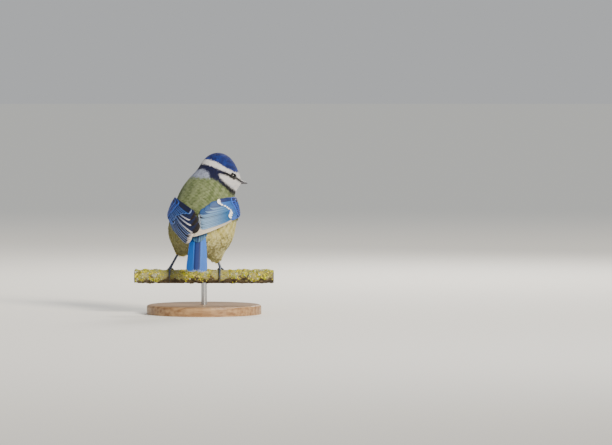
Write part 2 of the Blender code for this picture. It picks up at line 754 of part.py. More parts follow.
def bark_radius(along, turn):
    """Radius of the branch: knots and bark away from the feet, round under the toes."""
    relief = (0.55 * np.sin(0.31 * along + 1.3) * np.cos(2 * turn + 0.12 * along)
              + 0.45 * np.sin(0.83 * along + 3 * turn) + 0.3 * np.sin(1.7 * along - 5 * turn + 0.7))
    feet = np.minimum(np.abs(along - LEFT_LEG["foot"][0]), np.abs(along - RIGHT_LEG["foot"][0]))
    return PERCH_RADIUS + BARK_RELIEF * relief * smooth((feet - 5.5) / 4.0)


def perch_point(along, turn, lift):
    """A place over the branch; turn 0 is its top and 90 its far side."""
    reach = bark_radius(along, turn) + lift
    return np.stack([along * np.ones_like(turn), reach * np.sin(turn),
                     reach * np.cos(turn) - PERCH_RADIUS], axis=-1)


def make_perch(bird):
    """A short length of branch with cut ends and a socket for the rod."""
    sides, rings = 14, 30
    turn = np.linspace(0, 2 * np.pi, sides, endpoint=False)
    loops = []
    alongs = np.linspace(-PERCH_HALF_LENGTH, PERCH_HALF_LENGTH, rings)
    for along in alongs:
        loops.append(perch_point(np.full(sides, along), turn, 0.0))
    ends = [np.array([x, 0.0, -PERCH_RADIUS]) for x in (alongs[0], alongs[-1])]
    verts, faces = ringed_mesh(loops, ends[0], ends[1])
    perch = mesh_object("perch", verts, faces, None, bird)
    radius = ROD_RADIUS + SOCKET_CLEARANCE
    path = np.array([[0, 0, -2 * PERCH_RADIUS - 3.0], [0, 0, -2 * PERCH_RADIUS],
                     [0, 0, -2 * PERCH_RADIUS + SOCKET_DEPTH]])
    verts, faces = tube(path, [radius] * 3, 20)
    carve(perch, "DIFFERENCE", mesh_object("drill", verts, faces, None, bird))
    dress(perch, "bark")


def make_stand():
    """A round base and the rod that carries the branch."""
    sides = 44
    turn = np.linspace(0, 2 * np.pi, sides, endpoint=False)
    loops = []
    profile = [(BASE_RADIUS, 0.0), (BASE_RADIUS, BASE_THICKNESS - BASE_EDGE),
               (BASE_RADIUS - BASE_EDGE * 0.3, BASE_THICKNESS - BASE_EDGE * 0.3),
               (BASE_RADIUS - BASE_EDGE, BASE_THICKNESS)]
    for radius, height in profile:
        loops.append(np.stack([radius * np.cos(turn), radius * np.sin(turn), np.full(sides, height)], -1))
    verts, faces = ringed_mesh(loops, (0, 0, 0), (0, 0, BASE_THICKNESS))
    base = mesh_object("stand_base", verts, faces, None)
    radius = ROD_RADIUS + SOCKET_CLEARANCE
    heights = (BASE_THICKNESS - SOCKET_DEPTH, BASE_THICKNESS, BASE_THICKNESS + 3)
    path = np.array([[0, 0, height] for height in heights])
    verts, faces = tube(path, [radius] * 3, 20)
    carve(base, "DIFFERENCE", mesh_object("drill", verts, faces, None))
    dress(base, "stand_wood")
    low = BASE_THICKNESS - SOCKET_DEPTH + 0.3
    high = BASE_THICKNESS + ROD_SHOWN + SOCKET_DEPTH - 1.2
    loops = [np.stack([ROD_RADIUS * np.cos(turn[::3]), ROD_RADIUS * np.sin(turn[::3]),
                       np.full(len(turn[::3]), z)], -1) for z in (low, high)]
    verts, faces = ringed_mesh(loops, (0, 0, low), (0, 0, high))
    mesh_object("stand_rod", verts, faces, "steel")


def toe_path(foot_x, spread, reach, claw_turn, claw_drop):
    """Centreline and radii of one toe round the branch, ending in its claw."""
    stations = 7
    points, radii = [], []
    for k in range(stations):
        t = k / (stations - 1)
        turn = math.radians(reach) * t
        along = foot_x + spread * math.sin(t * math.pi / 2)
        points.append(perch_point(np.array(along), np.array(turn), TOE_RADIUS + GAP + 0.1))
        radii.append(TOE_RADIUS * (1.0 - 0.25 * t))
    end, heading = points[-1], unit(points[-1] - points[-2])
    inward = unit(np.array([0.0, 0.0, -PERCH_RADIUS]) - end * np.array([0, 1, 1]))
    for k in range(1, 4):
        t = k / 3
        points.append(end + heading * claw_drop * t + inward * claw_turn * t * t)
        radii.append(CLAW_RADIUS * (1.15 - 0.85 * t))
    return np.array(points), radii


def make_foot(bird, name, foot_x, ankle):
    """Three toes over the far side, one on the near side, and the ankle that joins them."""
    hub = perch_point(np.array(foot_x), np.array(0.0), TOE_RADIUS + GAP + 0.35)
    lean = unit(ankle - hub)
    stub = np.array([hub, hub + lean * HUB_STUB / 2, hub + lean * HUB_STUB])
    verts, faces = tube(stub, [1.15, 1.0, TARSUS_RADIUS], 8, start_flat=False)
    foot = mesh_object(name, verts, faces, None, bird)
    toes = []
    for spread, reach, claw_turn, claw_drop in TOES:
        points, radii = toe_path(foot_x, spread, reach, claw_turn, claw_drop)
        verts, faces = tube(points, radii, 6, start_flat=False)
        toes.append(mesh_object("toe", verts, faces, None, bird))
    fuse(foot, toes)
    dress(foot, "leg")
    return hub + lean * HUB_STUB, lean


def make_leg(bird, side, leg):
    """Feathered thigh, bare tarsus and gripping foot."""
    top, ankle = (np.array(p) for p in leg["thigh"])
    end, lean = make_foot(bird, f"foot_{side}", leg["foot"][0], ankle)
    shin = np.linspace(end + lean * GAP, ankle, 5)
    radii = TARSUS_RADIUS * np.array([1.0, 0.85, 0.85, 0.95, 1.1])
    verts, faces = tube(shin, radii, 9)
    mesh_object(f"tarsus_{side}", verts, faces, "leg", bird)
    wide, narrow = leg["thigh_radii"]
    path = np.linspace(top, ankle, 6)
    verts, faces = tube(path, np.linspace(wide, narrow, 6) * np.array([0.7, 1, 1, 1, 0.95, 0.7]), 16)
    thigh = mesh_object(f"thigh_{side}", verts, faces, None, bird)
    carve(thigh, "DIFFERENCE", torso_keepout(bird))
    shin = np.linspace(end, ankle + lean * GAP * 1.5, 3)
    verts, faces = tube(shin, [TARSUS_RADIUS * 1.1 + GAP * 1.2] * 3, 12)
    carve(thigh, "DIFFERENCE", mesh_object("hollow", verts, faces, None, bird))
    dress(thigh, "yellow_belly")


def main():
    """Clear the scene and build the bird, its branch and its stand."""
    for thing in list(bpy.data.objects):
        bpy.data.objects.remove(thing)
    bird = bpy.data.objects.new("bird_origin", None)
    bpy.context.scene.collection.objects.link(bird)
    bird.location = (0.0, 0.0, PERCH_TOP * MM)
    make_torso(bird)
    make_neck(bird)
    make_head(bird)
    make_eyes(bird)
    make_bill(bird)
    make_wing(bird, "wing_right", RIGHT_WING, RIGHT_INNER_TIERS)
    make_wing(bird, "wing_left", LEFT_WING, LEFT_INNER_TIERS)
    make_tail(bird)
    make_perch(bird)
    make_leg(bird, "left", LEFT_LEG)
    make_leg(bird, "right", RIGHT_LEG)
    make_stand()


main()
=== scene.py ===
"""A life-size blue tit that grips a cut length of lichened branch on a plain display stand."""

import json
import logging
import math
from collections.abc import Callable
from dataclasses import dataclass, field
from enum import Enum

import bpy
import numpy as np
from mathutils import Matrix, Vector

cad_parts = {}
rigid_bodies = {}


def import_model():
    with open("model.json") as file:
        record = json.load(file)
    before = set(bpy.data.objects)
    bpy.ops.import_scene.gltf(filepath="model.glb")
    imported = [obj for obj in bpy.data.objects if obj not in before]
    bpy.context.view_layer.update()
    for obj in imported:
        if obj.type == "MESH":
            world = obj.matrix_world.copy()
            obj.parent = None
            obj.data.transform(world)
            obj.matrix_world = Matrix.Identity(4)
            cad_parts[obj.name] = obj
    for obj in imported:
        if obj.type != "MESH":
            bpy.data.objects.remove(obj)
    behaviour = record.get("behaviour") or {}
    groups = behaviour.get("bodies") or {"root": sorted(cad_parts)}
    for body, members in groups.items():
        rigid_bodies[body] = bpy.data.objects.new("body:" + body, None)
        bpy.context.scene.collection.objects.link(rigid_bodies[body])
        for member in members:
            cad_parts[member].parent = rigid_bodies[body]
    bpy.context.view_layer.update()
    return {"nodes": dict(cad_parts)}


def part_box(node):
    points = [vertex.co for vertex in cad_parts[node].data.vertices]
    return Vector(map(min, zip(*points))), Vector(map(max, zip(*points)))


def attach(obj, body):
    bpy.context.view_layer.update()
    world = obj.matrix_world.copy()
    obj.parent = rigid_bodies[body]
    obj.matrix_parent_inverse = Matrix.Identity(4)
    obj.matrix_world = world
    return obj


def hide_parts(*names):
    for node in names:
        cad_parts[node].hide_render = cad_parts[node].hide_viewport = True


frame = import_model()

log = logging.getLogger("blue_tit")

# Lengths are millimetres; the bird's own origin is on top of the branch, over the base's centre
MM = 0.001
PERCH_RADIUS = 5.0
ROD_SHOWN = 16.0
BASE_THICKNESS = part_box("stand_base")[1][2] / MM
PERCH_TOP = BASE_THICKNESS + ROD_SHOWN + 2 * PERCH_RADIUS

Point = tuple[float, float, float]
Colour = tuple[float, float, float, float]
Array = np.ndarray
Chance = np.random.Generator
Thing = bpy.types.Object
Material = bpy.types.Material
Socket = bpy.types.NodeSocket
Tree = bpy.types.NodeTree


def linear(hex_colour: str) -> Array:
    """Turn an sRGB hex colour to linear light.

    Args:
        hex_colour: The colour as "#rrggbb".

    Returns:
        Red, green and blue in linear light.
    """
    channels = np.array([int(hex_colour[i:i + 2], 16) / 255 for i in (1, 3, 5)])
    return np.where(channels <= 0.04045, channels / 12.92, ((channels + 0.055) / 1.055) ** 2.4)


def rgba(hex_colour: str) -> Colour:
    """A linear colour with full alpha, for a socket."""
    return (*(float(c) for c in linear(hex_colour)), 1.0)


def blend(one: str, other: str, share: Array) -> Array:
    """Linear colours from one hex colour to another, by each place's share of the other."""
    return linear(one) * (1 - share[:, None]) + linear(other) * share[:, None]


def unit(vector: Array) -> Array:
    """Vectors at length one."""
    vector = np.asarray(vector, dtype=float)
    return vector / np.maximum(np.linalg.norm(vector, axis=-1, keepdims=True), 1e-12)


def smooth(value: Array | float) -> Array:
    """An even rise from 0 to 1."""
    value = np.clip(value, 0.0, 1.0)
    return value * value * (3 - 2 * value)


def add_node(tree: Tree, kind: str, settings: dict | None = None,
             links: dict | None = None) -> bpy.types.Node:
    """Add a node with its settings and its links.

    Args:
        tree: The node tree that gets the node.
        kind: The node's type name.
        settings: Its properties by name, and its sockets' values by name or number.
        links: The sockets that feed its own, by name or number; a node stands for its first output.

    Returns:
        The new node.
    """
    node = tree.nodes.new(kind)
    for name, value in (settings or {}).items():
        if isinstance(name, str) and hasattr(node, name):
            setattr(node, name, value)
        else:
            node.inputs[name].default_value = value
    for name, source in (links or {}).items():
        tree.links.new(source if isinstance(source, Socket) else source.outputs[0], node.inputs[name])
    return node


@dataclass(frozen=True)
class Form:
    """One rounded form of the plumage: its centre, its radii and how it is pitched and turned."""

    centre: Point
    radii: Point
    pitch: float = 0.0
    yaw: float = 0.0


def heading_frame(heading: float, pitch: float) -> Array:
    """Find the directions of something that faces a heading and a pitch.

    Args:
        heading: Degrees to the right of straight ahead.
        pitch: Degrees upwards.

    Returns:
        Rows across, along and through.
    """
    turn, lift = math.radians(heading), math.radians(pitch)
    across = np.array([math.cos(turn), -math.sin(turn), 0.0])
    along = np.array([math.sin(turn) * math.cos(lift), math.cos(turn) * math.cos(lift), math.sin(lift)])
    return np.stack([across, along, np.cross(across, along)])


@dataclass(frozen=True)
class Plumage:
    """The outer surface of the bird's body and head, as forms that flow into each other."""

    body_centre: Point = (-0.5, 1.0, 38.0)
    body_heading: float = 10.0
    head_centre: Point = (11.4, 6.0, 72.2)
    head_heading: float = 66.0
    head_pitch: float = -8.0
    blend: float = 3.0
    body_forms: tuple[Form, ...] = (
        Form((-0.2, 1.0, 37.0), (24.0, 25.5, 24.6), 30),
        Form((-1.5, -5.0, 26.0), (14.5, 15.0, 13.0), 25),
        Form((-14.8, -1.0, 29.8), (12.2, 14.5, 12.2), 60),
        Form((9.4, 0.0, 26.6), (11.6, 12.0, 12.0), 60),
        Form((1.8, 8.5, 43.5), (20.0, 16.0, 19.0), 50),
        Form((0.8, -5.0, 50.0), (19.6, 21.0, 17.0), 55),
        Form((2.8, 0.0, 59.0), (16.4, 15.0, 14.0), 55),
        Form((-0.5, -16.0, 38.0), (11.5, 16.0, 9.0), 75),
        Form((6.0, 3.0, 63.5), (11.8, 11.6, 12.0), 50, 25),
    )
    head_forms: tuple[Form, ...] = (
        Form((0.0, -0.6, 1.0), (8.2, 13.2, 12.8)),
        Form((0.0, -2.2, 3.4), (7.2, 10.6, 10.8)),
        Form((-4.2, 0.6, -4.4), (4.8, 7.6, 6.8)),
        Form((4.2, 0.6, -4.4), (4.8, 7.6, 6.8)),
        Form((0.0, 6.8, -2.8), (4.2, 6.0, 5.2)),
        Form((0.0, 12.4, -4.3), (1.7, 4.4, 1.9)),
        Form((0.0, 4.2, -9.8), (6.2, 6.6, 6.0)),
    )
    thighs: tuple[tuple[Point, Point, float, float], ...] = ()
    placed: list = field(default_factory=list)

    def __post_init__(self) -> None:
        """Place every form in the branch's directions."""
        level = heading_frame(self.body_heading, 0.0)
        for form in self.body_forms:
            across, forward, up = form.centre
            centre = across * level[0] + forward * level[1] + np.array([0.0, 0.0, up])
            axes = heading_frame(self.body_heading + form.yaw, form.pitch)
            self.placed.append((centre, np.array(form.radii), axes))
        for form in self.head_forms:
            self.placed.append((self.head_point(*form.centre), np.array(form.radii), self.head_frame))
        for top, ankle, wide, narrow in self.thighs:
            axis = unit(np.array(ankle) - np.array(top))
            across = unit(np.cross(axis, (0.0, 1.0, 0.0)))
            axes = np.stack([across, axis, np.cross(across, axis)])
            length = np.linalg.norm(np.array(ankle) - np.array(top))
            for share in (0.25, 0.5, 0.72, 0.9):
                radius = wide + (narrow - wide) * share
                centre = np.array(top) + axis * length * share
                self.placed.append((centre, np.array([radius, radius * 1.4, radius]), axes))

    @property
    def head_frame(self) -> Array:
        """Rows right, forward and up of the head."""
        return heading_frame(self.head_heading, self.head_pitch)

    def head_point(self, right: float, forward: float, up: float) -> Array:
        """A place on the head from its own right, forward and up."""
        return np.array(self.head_centre) + np.array([right, forward, up]) @ self.head_frame

    def depth(self, points: Array) -> Array:
        """Measure how far points are outside the plumage.

        Args:
            points: Places in the bird's frame.

        Returns:
            A value near a distance, negative inside.
        """
        total = np.zeros(points.shape[:-1])
        for centre, radii, axes in self.placed:
            scaled = (points - centre) @ axes.T / radii
            reach = np.linalg.norm(scaled, axis=-1)
            slope = np.maximum(np.linalg.norm(scaled / radii, axis=-1), 1e-9)
            total += np.exp(-np.clip(reach * (reach - 1.0) / slope, -60.0, 60.0) / self.blend)
        return -self.blend * np.log(total)

    def reach(self, centre: Array, directions: Array, furthest: float = 70.0,
              step: float = 1.25) -> Array:
        """Find how far the surface is from a centre inside it.

        Args:
            centre: A place inside the plumage.
            directions: Unit directions.
            furthest: Where the search ends.
            step: How finely it looks before it halves.

        Returns:
            The distance to the surface in each direction.
        """
        shape = directions.shape[:-1]
        near, far = np.zeros(shape), np.full(shape, furthest)
        found = np.zeros(shape, dtype=bool)
        for distance in np.arange(step, furthest, step):
            outside = self.depth(centre + directions * distance) > 0
            new = outside & ~found
            near[new], far[new] = distance - step, distance
            found |= outside
        for _ in range(16):
            middle = (near + far) / 2
            outside = self.depth(centre + directions * middle[..., None]) > 0
            far = np.where(outside, middle, far)
            near = np.where(outside, near, middle)
        return (near + far) / 2

    def normal(self, points: Array, step: float = 0.05) -> Array:
        """Find the surface's outward direction.

        Args:
            points: Places near the surface.
            step: Half the length over which the slope is taken.

        Returns:
            Unit directions.
        """
        slopes = []
        for axis in np.eye(3):
            slopes.append(self.depth(points + axis * step) - self.depth(points - axis * step))
        return unit(np.stack(slopes, axis=-1))

    def head_angles(self, points: Array) -> tuple[Array, Array, Array]:
        """Turn places into the head's own angles.

        Args:
            points: Places in the bird's frame.

        Returns:
            Degrees round from the bill (right positive), degrees up, and distance from the centre.
        """
        local = (points - np.array(self.head_centre)) @ self.head_frame.T
        distance = np.maximum(np.linalg.norm(local, axis=-1), 1e-9)
        around = np.degrees(np.arctan2(local[..., 0], local[..., 1]))
        return around, np.degrees(np.arcsin(local[..., 2] / distance)), distance


BIRD = Plumage()
CLOTHED = Plumage(thighs=(((-12.5, 3.0, 24.0), (-18.9, 2.2, 13.6), 3.2, 0.3),
                          ((7.5, 2.0, 18.0), (10.0, 1.0, 8.6), 3.0, 0.3)))


def to_world(points: Array) -> Array:
    """Places in the bird's frame, in metres in the shared frame."""
    return (np.asarray(points) + np.array([0.0, 0.0, PERCH_TOP])) * MM


def to_bird(points: Array) -> Array:
    """Places in the shared frame, in millimetres in the bird's frame."""
    return np.asarray(points) / MM - np.array([0.0, 0.0, PERCH_TOP])


def outward(verts: Array, faces: Array) -> Array:
    """Turn a closed mesh's triangles so that they face out.

    Args:
        verts: Its points.
        faces: Its triangles, all turned one way.

    Returns:
        The triangles.
    """
    a, b, c = np.moveaxis((verts - verts.mean(axis=0))[faces], 1, 0)
    return faces[:, ::-1] if np.sum(a * np.cross(b, c)) < 0 else faces


@dataclass
class Shape:
    """A mesh of closed pieces that is still being gathered, with its patterns."""

    verts: list[Array] = field(default_factory=list)
    faces: list[Array] = field(default_factory=list)
    pattern: list[Array] = field(default_factory=list)
    shade: list[Array] = field(default_factory=list)
    count: int = 0

    def add(self, verts: Array, faces: Array, pattern: Array | None = None,
            shade: Array | None = None) -> None:
        """Take in one closed piece.

        Args:
            verts: Its points in the bird's frame.
            faces: Its triangles, all turned one way.
            pattern: A place on its own pattern for each point.
            shade: Red, green and blue for each point.
        """
        verts = np.asarray(verts, dtype=float).reshape(-1, 3)
        self.verts.append(verts)
        self.faces.append(outward(verts, np.asarray(faces, dtype=int)) + self.count)
        self.count += len(verts)
        self.pattern.append(np.zeros((len(verts), 2)) if pattern is None else pattern.reshape(-1, 2))
        self.shade.append(np.ones((len(verts), 3)) if shade is None else shade.reshape(-1, 3))


def plain_mesh(name: str, verts: Array, faces: Array, material: Material,
               pattern: Array | None = None, bake: Array | None = None,
               shade: Array | None = None) -> Thing:
    """Make a mesh object from arrays.

    Args:
        name: The object's name.
        verts: Points in the bird's frame.
        faces: Triangles that face outwards.
        material: Its finish.
        pattern: A UV place for each point, that its finish reads.
        bake: A UV place for each point or corner, kept in the OFBake map.
        shade: Red, green and blue for each point, that its finish reads.

    Returns:
        The object, at the origin.
    """
    mesh = bpy.data.meshes.new(name)
    mesh.vertices.add(len(verts))
    mesh.vertices.foreach_set("co", to_world(verts).astype(np.float32).ravel())
    mesh.loops.add(len(faces) * 3)
    mesh.loops.foreach_set("vertex_index", faces.astype(np.int32).ravel())
    mesh.polygons.add(len(faces))
    mesh.polygons.foreach_set("loop_start", np.arange(0, len(faces) * 3, 3, dtype=np.int32))
    mesh.polygons.foreach_set("use_smooth", np.ones(len(faces), dtype=bool))
    mesh.update(calc_edges=True)
    for layer, places in (("pattern", pattern), ("OFBake", bake)):
        if places is not None:
            uv = mesh.uv_layers.new(name=layer)
            corners = places if len(places) == faces.size else places[faces.ravel()]
            uv.data.foreach_set("uv", corners.astype(np.float32).ravel())
    if shade is not None:
        colours = mesh.attributes.new("shade", "FLOAT_COLOR", "POINT")
        full = np.concatenate([shade, np.ones((len(shade), 1))], axis=1)
        colours.data.foreach_set("color", full.astype(np.float32).ravel())
    mesh.materials.append(material)
    thing = bpy.data.objects.new(name, mesh)
    bpy.context.scene.collection.objects.link(thing)
    return thing


def gathered_mesh(name: str, shape: Shape, material: Material) -> Thing:
    """Make a mesh object from a gathered shape, with a square of the bake sheet for each part.

    Args:
        name: The object's name.
        shape: The pieces.
        material: Its finish.

    Returns:
        The object.
    """
    across = math.ceil(math.sqrt(len(shape.verts)))
    squares = []
    for number, pattern in enumerate(shape.pattern):
        corner = np.array([number % across, number // across])
        squares.append((corner + 0.06 + 0.88 * np.clip(pattern, 0, 1)) / across)
    return plain_mesh(name, np.concatenate(shape.verts), np.concatenate(shape.faces), material,
                      np.concatenate(shape.pattern), np.concatenate(squares), np.concatenate(shape.shade))


def grid_faces(rows: int, columns: int, closed: bool) -> Array:
    """Number the triangles of a grid of points.

    Args:
        rows: Rows of points.
        columns: Points in a row.
        closed: Whether each row is a ring.

    Returns:
        The triangles, with a row's turn to its left facing out.
    """
    number = np.arange(rows * columns).reshape(rows, columns)
    if closed:
        number = np.concatenate([number, number[:, :1]], axis=1)
    a, b = number[:-1, :-1].ravel(), number[:-1, 1:].ravel()
    c, d = number[1:, 1:].ravel(), number[1:, :-1].ravel()
    return np.concatenate([np.stack([a, b, c], 1), np.stack([a, c, d], 1)])


def ringed(rings: Array, start: Array, end: Array) -> tuple[Array, Array]:
    """Close a row of rings with a fan at each end.

    Args:
        rings: Rings of points, anticlockwise seen from the end.
        start: The point that shuts the first ring.
        end: The point that shuts the last one.

    Returns:
        Points and triangles.
    """
    rows, columns = rings.shape[:2]
    verts = np.concatenate([rings.reshape(-1, 3), [start], [end]])
    turn = np.arange(columns)
    after = (turn + 1) % columns
    first, last = rows * columns, rows * columns + 1
    under = np.stack([np.full(columns, first), after, turn], 1)
    over = np.stack([np.full(columns, last), turn + last - 1 - columns, after + last - 1 - columns], 1)
    return verts, np.concatenate([grid_faces(rows, columns, True), under, over])


def tube(path: Array, radii: Array, sides: int) -> tuple[Array, Array]:
    """Make a closed round tube along a path, without twist.

    Args:
        path: Its middle line.
        radii: Its radius at each point.
        sides: Points round it.

    Returns:
        Points and triangles.
    """
    path = np.asarray(path, dtype=float)
    tangents = unit(np.gradient(path, axis=0))
    normal = unit(np.cross(tangents[0], (0.13, 0.21, 0.97)))
    turn = np.linspace(0, 2 * np.pi, sides, endpoint=False)[:, None]
    rings = []
    for point, tangent, radius in zip(path, tangents, radii):
        normal = unit(normal - tangent * np.dot(normal, tangent))
        other = np.cross(tangent, normal)
        rings.append(point + radius * (np.cos(turn) * normal + np.sin(turn) * other))
    return ringed(np.array(rings), path[0] - tangents[0] * radii[0] * 0.4,
                  path[-1] + tangents[-1] * radii[-1] * 0.4)


class Outline:
    """Where the head's markings meet: degrees up against degrees round from the bill."""

    cap_edge = ((0, 28, 42, 67, 95, 116, 136, 159, 180), (12, 10, 11, 17, 26, 34, 37, 36, 34))
    brow_edge = ((0, 26, 39, 52, 76, 96, 113, 129, 146, 162, 180),
                 (-7, -7, -5, -1, 4, 7, 11, 15, 19, 20, 19))
    cheek_top = ((0, 26, 47, 60, 72, 96, 117, 180), (-15, -15, -13, -12, -10.5, -4, -3, -3))
    cheek_back = ((-60, -44, -40, -36, -31, -20, -12, -3, 10), (0, 20, 34, 55, 76, 98, 109, 115, 115))
    patch_top = ((133, 139, 160, 176, 180), (-14, -3, 6, 2, 1))
    collar_edge = ((0, 24, 40, 60, 78, 97, 116, 132, 151, 171, 180),
                   (-48, -48, -47, -44, -39.5, -29, -19, -14, -14, -14, -14))
    bib_half_width = ((-60, -46, -38, -30, -20), (22, 15, 9, 8, 9))
    bib_top = -21.0

    @staticmethod
    def at(line: tuple, value: Array) -> Array:
        """A line's height at some angles."""
        return np.interp(value, *line)


def ripple(points: Array, length: float, seed: int) -> Array:
    """Soft noise of one scale, about -1 to 1.

    Args:
        points: Places in millimetres.
        length: The distance from one swell to the next.
        seed: Picks another field.

    Returns:
        The noise at each place.
    """
    draw = np.random.default_rng(seed)
    total = np.zeros(points.shape[:-1])
    for _ in range(7):
        wave = unit(draw.normal(size=3)) * 2 * np.pi / length * draw.uniform(0.7, 1.5)
        total += np.sin(points @ wave + draw.uniform(0, 2 * np.pi))
    return total / 2.6


@dataclass(frozen=True)
class Markings:
    """The colours of the body feathers, from place to place, with painted shade on the left flank."""

    cap: str = "#1d3c9c"
    cap_shade: str = "#0b164e"
    white: str = "#f8f5f4"
    white_shade: str = "#c4c9dd"
    stripe: str = "#05070f"
    collar: str = "#0c1340"
    nape_patch: str = "#bcc6e2"
    mantle: str = "#82945c"
    mantle_light: str = "#b6bf96"
    mantle_shade: str = "#52613a"
    flank: str = "#e6da74"
    flank_light: str = "#f6f2cc"
    flank_shade: str = "#948c3c"
    breast: str = "#e8c81e"
    vent: str = "#dcd9a6"
    left_flank_painted_shade: str = "#5f6a48"
    edge_jitter: float = 1.6

    def head_share(self, points: Array) -> Array:
        """Degrees by which places are above the collar's lower edge, negative on the body."""
        around, up, _ = BIRD.head_angles(points)
        return up - Outline.at(Outline.collar_edge, np.abs(around))

    def head(self, points: Array, jitter: Array) -> Array:
        """Paint the head.

        Args:
            points: Places in the bird's frame.
            jitter: Degrees by which each place strays, two for each.

        Returns:
            Linear red, green and blue.
        """
        around, up, _ = BIRD.head_angles(points)
        turn, up = np.abs(around + jitter[:, 0]), up + jitter[:, 1]
        speck, swell = ripple(points, 1.3, 4), ripple(points, 5.0, 9)
        colour = blend(self.stripe, self.collar, smooth((turn - 85) / 35)) * (1 + 0.25 * speck)[:, None]
        pale = np.clip(0.75 + 0.14 * speck + 0.1 * swell + 0.1 * jitter[:, 1], 0, 1)
        white = blend(self.white, self.white_shade, np.clip(0.2 + 0.2 * swell, 0, 0.5))
        deep = np.clip(0.5 + 0.2 * speck + 0.25 * swell + 0.14 * jitter[:, 1], 0, 1)
        patch = (turn > 133) & (up < Outline.at(Outline.patch_top, turn))
        cheek = (up < Outline.at(Outline.cheek_top, turn)) & (turn < Outline.at(Outline.cheek_back, up))
        brow, cap = up > Outline.at(Outline.brow_edge, turn), up > Outline.at(Outline.cap_edge, turn)
        for where, paint in ((patch, blend(self.collar, self.nape_patch, pale)), (cheek, white),
                             (brow, white), (cap, blend(self.cap, self.cap_shade, deep))):
            colour[where] = paint[where]
        bib = (turn < Outline.at(Outline.bib_half_width, up)) & (up < Outline.bib_top)
        colour[bib] = linear(self.stripe)
        return colour

    def body(self, points: Array) -> Array:
        """Paint the body, with painted shade on its left flank.

        Args:
            points: Places in the bird's frame.

        Returns:
            Linear red, green and blue.
        """
        local = points - np.array(BIRD.body_centre)
        turn = np.degrees(np.arctan2(local[:, 0], -local[:, 1]))
        rise = np.degrees(np.arcsin(local[:, 2] / np.linalg.norm(local, axis=1)))
        stretched = points * np.array([1.0, 1.0, 0.45])
        speck, swell = ripple(stretched, 2.2, 21), ripple(stretched, 7.0, 22)
        tone = np.clip(0.5 + 0.42 * speck + 0.2 * swell, 0, 1)
        green = linear(self.mantle) * 0.55 + 0.45 * blend(self.mantle_shade, self.mantle_light, tone)
        yellow = linear(self.flank) * 0.5 + 0.5 * blend(self.flank_shade, self.flank_light, tone)
        tone = tone[:, None]
        edge = 84 + 26 * smooth((rise - 5) / 25) + 6 * swell
        front = smooth((np.abs(turn) - edge) / 24)[:, None]
        yellow = yellow * (1 - front) + linear(self.breast) * (0.8 + 0.3 * tone) * front
        low = smooth((-28 - rise) / 25)[:, None] * (1 - front)
        yellow = yellow * (1 - 0.6 * low) + linear(self.vent) * 0.6 * low
        # Painted shade: the left flank, low down and away from the breast, is darkened towards a shaded
        # olive
        left = (smooth((-turn - 5) / 30) * smooth((12 - rise) / 20))[:, None] * (1 - front)
        yellow = yellow * (1 - 0.5 * left) + linear(self.left_flank_painted_shade) * (0.7 + 0.5 * tone) * 0.5 * left
        above = (smooth((rise + 4 + 6 * smooth((np.abs(turn) - 60) / 40)) / 8))[:, None]
        return green * above * (1 - front) + yellow * (1 - above * (1 - front))

    def paint(self, points: Array, seed: int = 3) -> Array:
        """Paint places anywhere on the bird.

        Args:
            points: Places in the bird's frame.
            seed: Fixes how the edges stray.

        Returns:
            Linear red, green and blue.
        """
        jitter = np.random.default_rng(seed).normal(size=(len(points), 2)) * self.edge_jitter
        on_head = self.head_share(points) + jitter[:, 0] > 0
        colour = self.body(points)
        colour[on_head] = self.head(points[on_head], jitter[on_head])
        return colour


MARKINGS = Markings()


